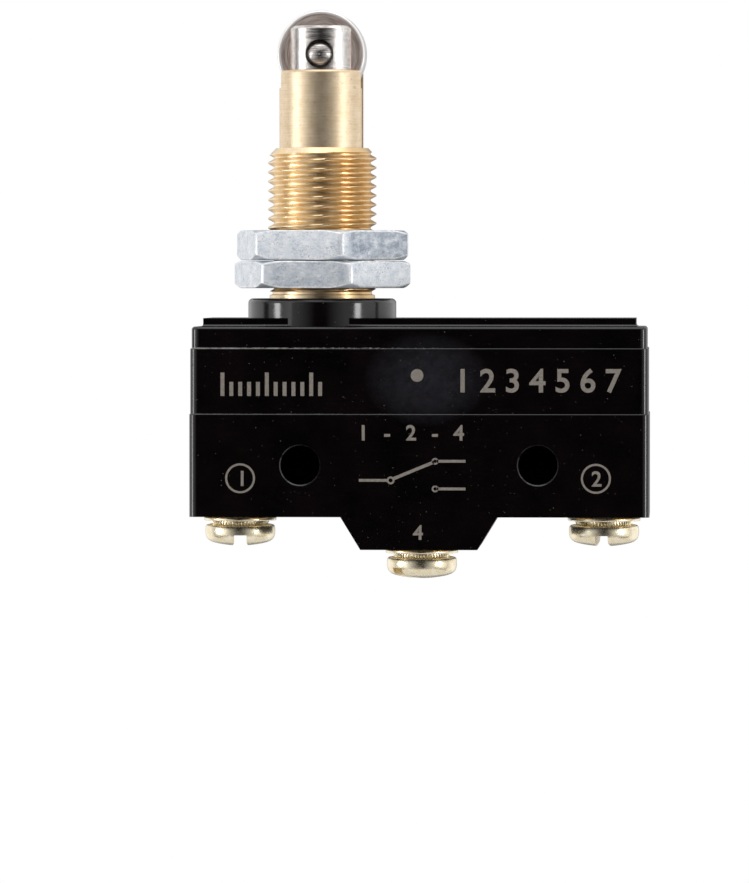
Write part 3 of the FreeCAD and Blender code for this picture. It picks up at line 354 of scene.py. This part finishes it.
def roller_material():
    """Turned steel: rings round the roller's own axis show on its faces."""
    material, tree, shader = new_material("turned_steel")
    shader.inputs["Metallic"].default_value = 0.7
    parts = node(tree, "ShaderNodeSeparateXYZ", {0: in_mm(tree)})
    x = math_node(tree, "SUBTRACT", parts.outputs[0], AXIS_X * 1000.0)
    z = math_node(tree, "SUBTRACT", parts.outputs[2], ROLLER_LEVEL)
    radius = math_node(tree, "SQRT", square_sum(tree, x, z))
    angle = math_node(tree, "ARCTAN2", x, z)
    ring = node(tree, "ShaderNodeCombineXYZ", {0: math_node(tree, "MULTIPLY", radius, 2.6),
                                               1: math_node(tree, "MULTIPLY", angle, 0.7), 2: 0.0})
    rings = noise(tree, ring.outputs[0], 1.5, 5.0, 0.7)
    base = drift(tree, rings, 0.40, 0.66, srgb(164, 144, 136), srgb(226, 214, 206))
    low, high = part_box("roller")
    rim = (high.z - low.z) * 500.0
    # Painted highlight: a near-white ring round the roller's rim.
    painted_rim_highlight = spread(tree, radius, rim - 0.42, rim - 0.30, 0.0, 0.85)
    base = colour_mix(tree, painted_rim_highlight, base, srgb(248, 246, 244))
    tree.links.new(base, shader.inputs["Base Color"])
    tree.links.new(spread(tree, rings, 0.3, 0.7, 0.28, 0.44), shader.inputs["Roughness"])
    first = bump(tree, rings, 0.8, 0.000014)
    second = bump(tree, noise(tree, in_mm(tree), 4.0, 5.0, 0.7), 0.4, 0.000006, first)
    tree.links.new(second, shader.inputs["Normal"])
    return material


def plate_material(name, first, second, rough_low, rough_high, dent=0.000012):
    """Yellow plate or plain strip metal, a little uneven."""
    material, tree, shader = new_material(name)
    shader.inputs["Metallic"].default_value = 1.0
    cloud = noise(tree, in_mm(tree), 1.3, 5.0, 0.65)
    base = drift(tree, cloud, 0.34, 0.66, first, second)
    tree.links.new(base, shader.inputs["Base Color"])
    patch = noise(tree, in_mm(tree), 3.1, 5.0, 0.7)
    tree.links.new(spread(tree, patch, 0.3, 0.7, rough_low, rough_high), shader.inputs["Roughness"])
    tree.links.new(bump(tree, patch, 0.5, dent), shader.inputs["Normal"])
    return material


def ink_material():
    material, tree, shader = new_material("print_ink")
    wear = noise(tree, in_mm(tree), 6.0, 4.0, 0.7)
    base = drift(tree, wear, 0.35, 0.7, srgb(128, 121, 113), srgb(94, 88, 82))
    tree.links.new(base, shader.inputs["Base Color"])
    tree.links.new(spread(tree, wear, 0.3, 0.7, 0.45, 0.65), shader.inputs["Roughness"])
    return material


materials = {
    "phenolic": phenolic_material(),
    "turned_brass": turned_metal("turned_brass", srgb(228, 205, 170), srgb(243, 224, 196), 0.35, 0.48,
                                 groove=0.000010, spots=srgb(196, 168, 130)),
    "zinc_plated_steel": zinc_material(),
    "nickel_plate": nickel_material(),
    "turned_steel": roller_material(),
    "spring_steel": plate_material("spring_steel", srgb(170, 172, 175), srgb(196, 198, 200), 0.18, 0.32),
    "terminal_brass": plate_material("terminal_brass", srgb(222, 190, 128), srgb(240, 213, 156), 0.18, 0.34),
    "yellow_plate": plate_material("yellow_plate", srgb(238, 222, 184), srgb(252, 243, 220), 0.20, 0.36,
                                   0.000024),
    "spring_bronze": plate_material("spring_bronze", srgb(196, 132, 84), srgb(222, 160, 108), 0.22, 0.36),
    "contact_silver": plate_material("contact_silver", srgb(222, 222, 220), srgb(240, 240, 238), 0.2, 0.34),
}
bushing_brass = turned_metal("bushing_brass", srgb(240, 213, 170), srgb(252, 235, 206), 0.24, 0.40,
                             groove_strength=0.35, spots=srgb(222, 188, 134), right_side_tone=srgb(212, 176, 122))
zinc_worn_highlight_edge = worn_highlight_edge_material()
ink = ink_material()


def dress_nodes():
    """Each carried node takes the material of its slot in the record."""
    for name, carried in nodes.items():
        slot = slot_of(name)
        carried.data.materials.clear()
        carried.data.materials.append(materials[slot])


def slot_of(name):
    if name in ("case_base", "case_frame", "top_cover", "pin_plunger"):
        return "phenolic"
    if name in ("panel_bushing", "plunger_sleeve", "spring_seat"):
        return "turned_brass"
    if name in ("lower_nut", "upper_nut"):
        return "zinc_plated_steel"
    if name in ("roller_fork", "roller_pin"):
        return "nickel_plate"
    if name == "roller":
        return "turned_steel"
    if name in ("guide_key", "overtravel_spring"):
        return "spring_steel"
    if name.endswith("_terminal") or name == "tension_bracket":
        return "terminal_brass"
    if name.endswith("_washer") or name.endswith("_screw"):
        return "yellow_plate"
    if name == "snap_blade":
        return "spring_bronze"
    return "contact_silver"


# Mesh helpers

def add_piece(name, points, faces, body, material, smooth_angle=None):
    mesh = bpy.data.meshes.new(name)
    mesh.from_pydata(points, [], faces)
    mesh.validate()
    mesh.materials.append(material)
    piece = bpy.data.objects.new(name, mesh)
    bpy.context.scene.collection.objects.link(piece)
    if smooth_angle is not None:
        mesh.shade_smooth()
        mesh.set_sharp_from_angle(angle=math.radians(smooth_angle))
    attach(piece, body)
    return piece


def bands(rows, segments, closed=True, flipped=False):
    """Quads between neighbouring rings of points, with the last ring joined to the first if closed."""
    faces = []
    for row in range(rows if closed else rows - 1):
        here = row * segments
        there = ((row + 1) % rows) * segments
        for index in range(segments):
            after = (index + 1) % segments
            quad = (here + index, here + after, there + after, there + index)
            faces.append((quad[0], quad[3], quad[2], quad[1]) if flipped else quad)
    return faces


def even_angles(segments):
    return [2.0 * math.pi * index / segments for index in range(segments)]


def lathe(rings, angles, start=0.0):
    """Closed mesh from rings of points: each ring is a function of the angle past start: (radius, height)."""
    points = []
    for ring in rings:
        for angle in angles:
            radius, height = ring(angle)
            way = angle + start
            points.append((AXIS_X + radius * math.cos(way), radius * math.sin(way), height))
    return points, bands(len(rings), len(angles))


# Threaded bushing: M12 x 1, right hand, with its thread cut off by the chamfer at the top

THREAD_PITCH = 1.0 * MM
THREAD_CREST = 5.86 * MM
THREAD_ROOT = 5.24 * MM
THREAD_PHASE = 0.9
THREAD_FOOT = 15.9 * MM
SHOULDER_TOP = 18.2 * MM
SHOULDER_RADIUS = 5.70 * MM
RELIEF_TOP = 18.5 * MM
RELIEF_RADIUS = 5.38 * MM
BUSHING_TOP = 34.0 * MM
UNDER_NUTS = (18.85 * MM, 25.18 * MM)
UNDER_NUTS_RADIUS = 5.65 * MM
TOP_LAND_RADIUS = 4.99 * MM
BUSHING_BORE = 4.68 * MM
BORE_FLOOR = 15.70 * MM
BORE_EDGE = 0.12 * MM
GUIDE_BORE = 3.5 * MM
FLANGE_RADIUS = 6.68 * MM
FLANGE_FOOT = 14.32 * MM
FLANGE_TOP = 15.88 * MM


def thread_profile(share):
    """Radius at a share of one pitch, with the crest at share 0."""
    away = abs(share - round(share))
    crest_half = 0.07
    root_half = 0.40
    if away <= crest_half:
        return THREAD_CREST
    if away >= root_half:
        return THREAD_ROOT
    fall = (away - crest_half) / (root_half - crest_half)
    return THREAD_CREST + (THREAD_ROOT - THREAD_CREST) * fall


def thread_ring(height):
    if height < SHOULDER_TOP:
        return plain_ring(SHOULDER_RADIUS, height)
    if height < RELIEF_TOP:
        return plain_ring(RELIEF_RADIUS, height)
    chamfer = TOP_LAND_RADIUS + 0.97 * (BUSHING_TOP - height)
    limit = UNDER_NUTS_RADIUS if UNDER_NUTS[0] <= height <= UNDER_NUTS[1] else THREAD_CREST

    def ring(angle):
        share = height / THREAD_PITCH - angle / (2.0 * math.pi) - THREAD_PHASE
        return min(thread_profile(share), chamfer, limit), height
    return ring


def plain_ring(radius, height):
    return lambda angle: (radius, height)


def make_threaded_bushing():
    rows_per_pitch = 12
    rings = [plain_ring(GUIDE_BORE, FLANGE_FOOT), plain_ring(FLANGE_RADIUS, FLANGE_FOOT)]
    rings.append(plain_ring(FLANGE_RADIUS, FLANGE_TOP))
    count = round((BUSHING_TOP - THREAD_FOOT) / THREAD_PITCH * rows_per_pitch)
    for row in range(count + 1):
        rings.append(thread_ring(THREAD_FOOT + (BUSHING_TOP - THREAD_FOOT) * row / count))
    rings.append(plain_ring(BUSHING_BORE + BORE_EDGE, BUSHING_TOP))
    rings.append(plain_ring(BUSHING_BORE, BUSHING_TOP - BORE_EDGE))
    rings.append(plain_ring(BUSHING_BORE, BORE_FLOOR))
    rings.append(plain_ring(GUIDE_BORE, BORE_FLOOR))
    points, faces = lathe(rings, even_angles(144))
    piece = add_piece("threaded_bushing", points, faces, "case", bushing_brass, 42.0)
    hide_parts("panel_bushing")


# Hexagon nuts: corners rounded off lightly above and below, and every edge softened

def make_nut(name, cad_node, body):
    low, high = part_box(cad_node)
    middle = Vector((AXIS_X, 0.0, 0.0))
    flat = 8.48 * MM
    bore = UNDER_NUTS_RADIUS + 0.02 * MM
    soft = 0.16 * MM
    round_limit = 9.0 * MM
    far = max((v.co for v in nodes[cad_node].data.vertices), key=lambda co: (co - middle).xy.length)
    corner = math.atan2(far.y, far.x - AXIS_X)
    sixth = math.pi / 3.0

    rounding = math.radians(1.3)
    blunt = flat / math.cos(sixth / 2.0 - rounding)
    steps = [math.radians(step) for step in (0.0, 0.65, 1.3, 2.6)]
    steps += [math.radians(4.0 * step) for step in range(1, 15)]
    steps += [sixth - math.radians(step) for step in (2.6, 1.3, 0.65)]

    def hexagon(angle):
        turned = (angle % sixth) - sixth / 2.0
        return min(blunt, flat / math.cos(turned))

    def drop(angle, slope):
        return max(0.0, hexagon(angle) - round_limit) * slope

    def side(inset, level, slope, sign):
        return lambda angle: (hexagon(angle) - inset, level - sign * drop(angle, slope))

    top = high.z - 0.005 * MM
    bottom = low.z + 0.005 * MM

    def face(level, lift):
        return lambda angle: (min(hexagon(angle) - soft, round_limit - 0.3 * MM), level + lift)

    rings = [
        plain_ring(bore, bottom + soft),
        plain_ring(bore + soft, bottom),
        face(bottom, 0.0),
        side(0.55 * soft, bottom + 0.10 * soft, 0.60, -1.0),
        side(0.16 * soft, bottom + 0.50 * soft, 0.60, -1.0),
        side(0.0, bottom + 1.4 * soft, 0.60, -1.0),
        side(0.0, top - 1.2 * soft, 0.42, 1.0),
        side(0.16 * soft, top - 0.45 * soft, 0.42, 1.0),
        side(0.55 * soft, top - 0.08 * soft, 0.42, 1.0),
        face(top, 0.0),
        plain_ring(bore + soft, top),
        plain_ring(bore, top - soft),
    ]
    angles = [side_number * sixth + step for side_number in range(6) for step in steps]
    points, faces = lathe(rings, angles, corner)
    piece = add_piece(name, points, faces, body, materials["zinc_plated_steel"], 44.0)
    piece.data.materials.append(zinc_worn_highlight_edge)
    # The bevel bands and rounded corners take the brighter edge zinc: wear with a painted edge highlight.
    worn_highlight_rows = (3, 4, 6, 7)
    for polygon in piece.data.polygons:
        row, place = divmod(polygon.index, len(angles))
        at_corner = min(angles[place] % sixth, sixth - angles[place] % sixth) < math.radians(1.0)
        upright = row in (4, 5, 6)
        if row in worn_highlight_rows or (upright and at_corner):
            polygon.material_index = 1
    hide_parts(cad_node)


# Terminal screws: pan heads with bulged sides, cut by a straight slot

def make_screw(terminal, across, turn, seat):
    """The head hangs below its seat, and the shank stands above it. The profile is in millimetres."""
    name = terminal + "_slotted_screw"
    centre = Vector((across * MM, 0.0, seat * MM))
    head = [(0.0, 5.15), (1.96, 5.15), (1.96, 0.0), (3.30, 0.0), (3.55, -0.05), (3.70, -0.16),
            (3.765, -0.32), (3.785, -0.65), (3.785, -0.95), (3.74, -1.22), (3.64, -1.47), (3.46, -1.69),
            (3.20, -1.86), (2.85, -1.99), (2.40, -2.10), (1.85, -2.20), (1.25, -2.28), (0.60, -2.335),
            (0.0, -2.35)]
    segments = 96
    points = []
    for radius, level in head[1:-1]:
        for angle in even_angles(segments):
            points.append((radius * MM * math.cos(angle), radius * MM * math.sin(angle), level * MM))
    faces = bands(len(head) - 2, segments, closed=False, flipped=True)
    top = len(points)
    points.append((0.0, 0.0, head[0][1] * MM))
    points.append((0.0, 0.0, head[-1][1] * MM))
    last = (len(head) - 3) * segments
    for index in range(segments):
        after = (index + 1) % segments
        faces.append((top, index, after))
        faces.append((top + 1, last + after, last + index))
    solid = plain_mesh(name + "_blank", points, faces)
    floor = -1.12 * MM
    half = SLOT_WIDTH / 2.0
    flare = [(-half, floor), (half, floor), (half, -1.95 * MM), (half + 0.10 * MM, -2.20 * MM),
             (half + 0.30 * MM, -3.0 * MM), (-half - 0.30 * MM, -3.0 * MM), (-half - 0.10 * MM, -2.20 * MM),
             (-half, -1.95 * MM)]
    count = len(flare)
    reach = 5.0 * MM
    bar = [(x, -reach, z) for x, z in flare] + [(x, reach, z) for x, z in flare]
    bar_faces = [tuple(range(count)), tuple(reversed(range(count, 2 * count)))]
    for index in range(count):
        after = (index + 1) % count
        bar_faces.append((after, index, index + count, after + count))
    cutter = plain_mesh(name + "_slot", bar, bar_faces)
    modifier = solid.modifiers.new("slot", "BOOLEAN")
    modifier.operation = "DIFFERENCE"
    modifier.solver = "EXACT"
    modifier.object = cutter
    bpy.context.view_layer.update()
    mesh = bpy.data.meshes.new_from_object(solid.evaluated_get(bpy.context.evaluated_depsgraph_get()))
    bpy.data.objects.remove(solid)
    bpy.data.objects.remove(cutter)
    mesh.transform(Matrix.Translation(centre) @ Matrix.Rotation(math.radians(turn), 4, "Z"))
    mesh.materials.clear()
    mesh.materials.append(materials["yellow_plate"])
    mesh.shade_smooth()
    mesh.set_sharp_from_angle(angle=math.radians(32.0))
    piece = bpy.data.objects.new(name, mesh)
    bpy.context.scene.collection.objects.link(piece)
    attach(piece, "case")
    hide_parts(terminal + "_screw")


def plain_mesh(name, points, faces):
    """An object with no material, for cutting, with its faces turned outwards."""
    mesh = bpy.data.meshes.new(name)
    mesh.from_pydata(points, [], faces)
    mesh.validate()
    made = bpy.data.objects.new(name, mesh)
    bpy.context.scene.collection.objects.link(made)
    outward = bmesh.new()
    outward.from_mesh(mesh)
    bmesh.ops.recalc_face_normals(outward, faces=outward.faces)
    outward.to_mesh(mesh)
    outward.free()
    return made


# Lock washers: finely serrated round the rim next to the flat washer

def make_lock_washer(terminal):
    cad_node = terminal + "_lock_washer"
    low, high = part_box(cad_node)
    centre = (low + high) / 2.0
    outer = (high.x - low.x) / 2.0 - 0.01 * MM
    foot = outer - 0.12 * MM
    inner = 2.10 * MM
    depth = 0.13 * MM
    steps = 4
    segments = 52 * steps
    half = (high.z - low.z) / 2.0 - 0.01 * MM
    section = ((inner, -half), (inner, half), (outer, half), (outer, 0.1 * half), (foot, -half))
    points = []
    for radius, level in section:
        for index in range(segments):
            angle = 2.0 * math.pi * index / segments
            notched = radius == outer and index % steps in (2, 3)
            reach = radius - depth if notched else radius
            points.append((reach * math.cos(angle), reach * math.sin(angle), level))
    faces = bands(len(section), segments, flipped=True)
    placed = [tuple(Vector(point) + centre) for point in points]
    piece = add_piece(terminal + "_serrated_washer", placed, faces, "case",
                      materials["yellow_plate"], 25.0)
    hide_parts(cad_node)


# Overtravel spring: a coil of round wire, carried with the inner plunger

def make_spring():
    low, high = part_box("overtravel_spring")
    wire = 0.275 * MM
    coil = (high.x - low.x) / 2.0 - wire
    turns = 8.0
    per_turn = 24
    round_wire = 8
    rise = (high.z - low.z) - 2.0 * wire
    points = []
    count = int(turns * per_turn)
    for step in range(count + 1):
        angle = 2.0 * math.pi * step / per_turn
        outward = Vector((math.cos(angle), math.sin(angle), 0.0))
        middle = Vector((AXIS_X, 0.0, low.z + wire + rise * step / count)) + outward * coil
        for index in range(round_wire):
            way = 2.0 * math.pi * index / round_wire
            lift = Vector((0.0, 0.0, wire * math.sin(way)))
            points.append(tuple(middle + outward * wire * math.cos(way) + lift))
    faces = bands(count + 1, round_wire, closed=False)
    faces.append(tuple(reversed(range(round_wire))))
    faces.append(tuple(range(count * round_wire, (count + 1) * round_wire)))
    piece = add_piece("coil_spring", points, faces, "inner_plunger",
                      materials["spring_steel"], 60.0)
    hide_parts("overtravel_spring")
    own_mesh(piece)


# Prints: plain numbers and simple shapes in a pale grey ink

BASE_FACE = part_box("case_base")[0].y
FRAME_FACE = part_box("case_frame")[0].y
PRINT_PROUD = 0.012 * MM


def print_slab(name, outline, face_y):
    """A closed slab of ink on a front face. The outline is in millimetres across and up."""
    count = len(outline)
    front = [(x * MM, face_y - PRINT_PROUD, z * MM) for x, z in outline]
    back = [(x * MM, face_y + PRINT_PROUD, z * MM) for x, z in outline]
    faces = [tuple(range(count)), tuple(reversed(range(count, 2 * count)))]
    for index in range(count):
        after = (index + 1) % count
        faces.append((after, index, index + count, after + count))
    return add_piece(name, front + back, faces, "case", ink)


def print_ring(name, centre, radius, width, face_y, sides=48):
    section = ((radius - width, -PRINT_PROUD), (radius, -PRINT_PROUD),
               (radius, PRINT_PROUD), (radius - width, PRINT_PROUD))
    points = []
    for reach, depth in section:
        for angle in even_angles(sides):
            points.append(((centre[0] + reach * math.cos(angle)) * MM, face_y + depth,
                           (centre[1] + reach * math.sin(angle)) * MM))
    return add_piece(name, points, bands(len(section), sides), "case", ink)


def print_digits(name, digits, left, bottom, height, face_y, spacing=1.0, weight=0.035):
    """Plain numerals, as a thin closed mesh on a front face."""
    curve = bpy.data.curves.new(name, "FONT")
    curve.body = digits
    curve.size = height * MM / 0.70
    curve.space_character = spacing
    curve.extrude = PRINT_PROUD
    curve.offset = weight * MM
    curve.resolution_u = 6
    written = bpy.data.objects.new(name + "_text", curve)
    bpy.context.scene.collection.objects.link(written)
    bpy.context.view_layer.update()
    mesh = bpy.data.meshes.new_from_object(written.evaluated_get(bpy.context.evaluated_depsgraph_get()))
    bpy.data.objects.remove(written)
    mesh.transform(Matrix.Rotation(math.radians(90.0), 4, "X"))
    mesh.transform(Matrix.Translation((left * MM, face_y, bottom * MM)))
    mesh.materials.clear()
    mesh.materials.append(ink)
    piece = bpy.data.objects.new(name, mesh)
    bpy.context.scene.collection.objects.link(piece)
    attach(piece, "case")
    return piece


def print_line(name, start, end, width, face_y):
    along = Vector((end[0] - start[0], end[1] - start[1])).normalized()
    side = Vector((-along.y, along.x)) * width / 2.0
    a, b = Vector(start), Vector(end)
    outline = [tuple(a - side), tuple(b - side), tuple(b + side), tuple(a + side)]
    return print_slab(name, outline, face_y)


def make_prints():
    ticks = 12
    foot = 7.4
    wide = 0.42
    for index in range(ticks):
        x = -21.2 + index * 0.95
        tall = 2.5 if index % 5 == 0 else 1.5
        outline = [(x, foot), (x + wide, foot), (x + wide, foot + tall), (x, foot + tall)]
        print_slab(f"scale_tick_{index:02d}", outline, FRAME_FACE)
    print_digits("number_row", "1 2 3 4 5 6 7", 3.8, 7.85, 2.45, FRAME_FACE, 0.985, 0.06)
    print_digits("number_pair", "1  -  2  -  4", -6.5, 2.7, 1.6, BASE_FACE, 1.1, 0.045)
    print_ring("left_ring", (-19.1, -1.4), 1.6, 0.22, BASE_FACE)
    print_digits("left_number", "1", -19.45, -2.2, 1.6, BASE_FACE)
    print_ring("right_ring", (18.9, -1.4), 1.6, 0.22, BASE_FACE)
    print_digits("right_number", "2", 18.4, -2.2, 1.6, BASE_FACE)
    print_digits("middle_number", "4", -0.6, -7.9, 1.5, BASE_FACE, 1.0, 0.045)
    # changeover contact sign: one arm between two fixed points
    print_line("sign_arm_line", (-6.4, -1.6), (-3.4, -1.6), 0.3, BASE_FACE)
    print_ring("sign_pivot", (-3.0, -1.6), 0.42, 0.2, BASE_FACE, 32)
    print_line("sign_lever", (-2.65, -1.4), (1.6, 0.35), 0.34, BASE_FACE)
    print_line("sign_upper_line", (1.9, 0.45), (5.0, 0.45), 0.3, BASE_FACE)
    print_line("sign_lower_line", (1.9, -2.5), (5.0, -2.5), 0.3, BASE_FACE)
    print_ring("sign_upper_point", (1.75, 0.45), 0.36, 0.18, BASE_FACE, 32)
    print_ring("sign_lower_point", (1.75, -2.5), 0.36, 0.18, BASE_FACE, 32)
    dot = [(-0.18 + 0.68 * math.cos(angle), 9.6 + 0.68 * math.sin(angle)) for angle in even_angles(48)]
    print_slab("moulding_dot", dot, FRAME_FACE)


# Stage: a pale floor under the object, and in each mounting hole a black disc of painted shade for the shaded
# inside of the hole, which the photograph shows black

def make_stage():
    half = 0.115
    level = -0.088
    mesh = bpy.data.meshes.new("floor")
    corners = [(-half, -half, level), (half, -half, level), (half, half, level), (-half, half, level)]
    mesh.from_pydata(corners, [], [(0, 1, 2, 3)])
    material, tree, shader = new_material("floor")
    paper = noise(tree, in_mm(tree), 0.05, 4.0)
    tree.links.new(colour_mix(tree, paper, srgb(246, 246, 246), srgb(252, 252, 252)), shader.inputs["Base Color"])
    shader.inputs["Roughness"].default_value = 0.9
    mesh.materials.append(material)
    floor = bpy.data.objects.new("floor", mesh)
    bpy.context.scene.collection.objects.link(floor)

    # Painted shade: a near-black matt disc across each hole, where there is only shade.
    hole_shade, tree, shader = new_material("painted_hole_shade")
    shader.inputs["Base Color"].default_value = srgb(3, 3, 3)
    shader.inputs["Roughness"].default_value = 1.0
    shader.inputs["Specular IOR Level"].default_value = 0.0
    radius = 2.2
    for name, x in (("left_painted_hole_shade", -12.7), ("right_painted_hole_shade", 12.7)):
        ring = [((x + radius * math.cos(angle)) * MM, 0.0, radius * math.sin(angle) * MM)
                for angle in even_angles(32)]
        shade_disc_mesh = bpy.data.meshes.new(name)
        shade_disc_mesh.from_pydata(ring, [], [tuple(range(len(ring)))])
        shade_disc_mesh.materials.append(hole_shade)
        shade_disc = bpy.data.objects.new(name, shade_disc_mesh)
        bpy.context.scene.collection.objects.link(shade_disc)


# Light: a soft box on each side a little in front, a large one above, a white sweep behind and a dark front

LIGHT_AIM = (0.0, 0.0, 0.015)
# Side lights: degrees round from the front, distance, level, width and height in metres, brightness
SIDE_LIGHTS = (
    ("left_box", -67.2, 0.50, 0.06, 0.394, 0.60, 0.83),
    ("right_box", 74.8, 0.50, 0.06, 0.354, 0.60, 0.88),
    ("left_core", -71.0, 0.48, 0.0, 0.085, 0.13, 8.0),
    ("right_core", 59.0, 0.48, 0.0, 0.085, 0.13, 8.0),
)


def add_box(name, place, width, height, brightness, glossy=True):
    data = bpy.data.lights.new(name, "AREA")
    data.shape = "RECTANGLE"
    data.size = width
    data.size_y = height
    data.energy = brightness * math.pi * width * height
    box = bpy.data.objects.new(name, data)
    box.location = place
    towards = Vector(LIGHT_AIM) - Vector(place)
    box.rotation_euler = towards.to_track_quat("-Z", "Y").to_euler()
    box.visible_camera = False
    box.visible_glossy = glossy
    bpy.context.scene.collection.objects.link(box)


def make_lights():
    for name, angle, reach, level, width, height, brightness in SIDE_LIGHTS:
        way = math.radians(angle)
        place = (reach * math.sin(way), -reach * math.cos(way), level)
        add_box(name, place, width, height, brightness)
    add_box("top_box", (0.05, -0.10, 0.55), 0.60, 0.40, 1.2)
    add_box("front_fill", (0.0, -0.80, 0.25), 0.60, 0.60, 2.2, glossy=False)


def make_world():
    world = bpy.data.worlds.new("studio")
    bpy.context.scene.world = world
    world.use_nodes = True
    tree = world.node_tree
    background = tree.nodes["Background"]
    coordinates = node(tree, "ShaderNodeTexCoord")
    parts = node(tree, "ShaderNodeSeparateXYZ", {0: coordinates.outputs["Generated"]})
    forward = math_node(tree, "MULTIPLY", parts.outputs[1], -1.0)
    turned = math_node(tree, "ABSOLUTE", math_node(tree, "ARCTAN2", parts.outputs[0], forward))
    degrees = math_node(tree, "MULTIPLY", turned, 180.0 / math.pi)
    rising = spread(tree, degrees, 9.0, 38.0, 0.01, 0.58)
    falling = spread(tree, degrees, 47.0, 60.0, 1.0, 0.2)
    front = math_node(tree, "MULTIPLY", rising, falling)
    above = spread(tree, parts.outputs[2], 0.34, 0.62, 0.0, 1.0)
    below = spread(tree, parts.outputs[2], -0.60, -0.30, 1.0, 0.0)
    room = colour_mix(tree, above, front, (0.95, 0.95, 0.95, 1.0))
    room = colour_mix(tree, below, room, (0.22, 0.21, 0.21, 1.0))
    far_side = colour_mix(tree, spread(tree, degrees, 150.0, 173.0, 0.0, 1.0), (1.06, 1.06, 1.06, 1.0),
                          (0.25, 0.25, 0.25, 1.0))
    behind = spread(tree, degrees, 98.0, 103.0, 0.0, 1.0)
    room = colour_mix(tree, behind, room, far_side)
    path = node(tree, "ShaderNodeLightPath")
    mirrored = math_node(tree, "MAXIMUM", path.outputs["Is Glossy Ray"], path.outputs["Is Transmission Ray"])
    seen = colour_mix(tree, mirrored, (0.42, 0.42, 0.42, 1.0), room)
    shown = colour_mix(tree, path.outputs["Is Camera Ray"], seen, (1.0, 1.0, 1.0, 1.0))
    tree.links.new(shown, background.inputs["Color"])
    background.inputs["Strength"].default_value = 1.0


add_camera()
dress_nodes()
make_threaded_bushing()
for terminal, across, turn, seat in TERMINALS:
    make_lock_washer(terminal)
make_nut("lower_hexagon_nut", "lower_nut", "lower_panel_nut")
make_nut("upper_hexagon_nut", "upper_nut", "upper_panel_nut")
for terminal, across, turn, seat in TERMINALS:
    make_screw(terminal, across, turn, seat)
make_spring()
make_prints()
make_stage()
make_lights()
make_world()

bpy.context.scene.view_settings.view_transform = "Standard"
bpy.context.view_layer.update()
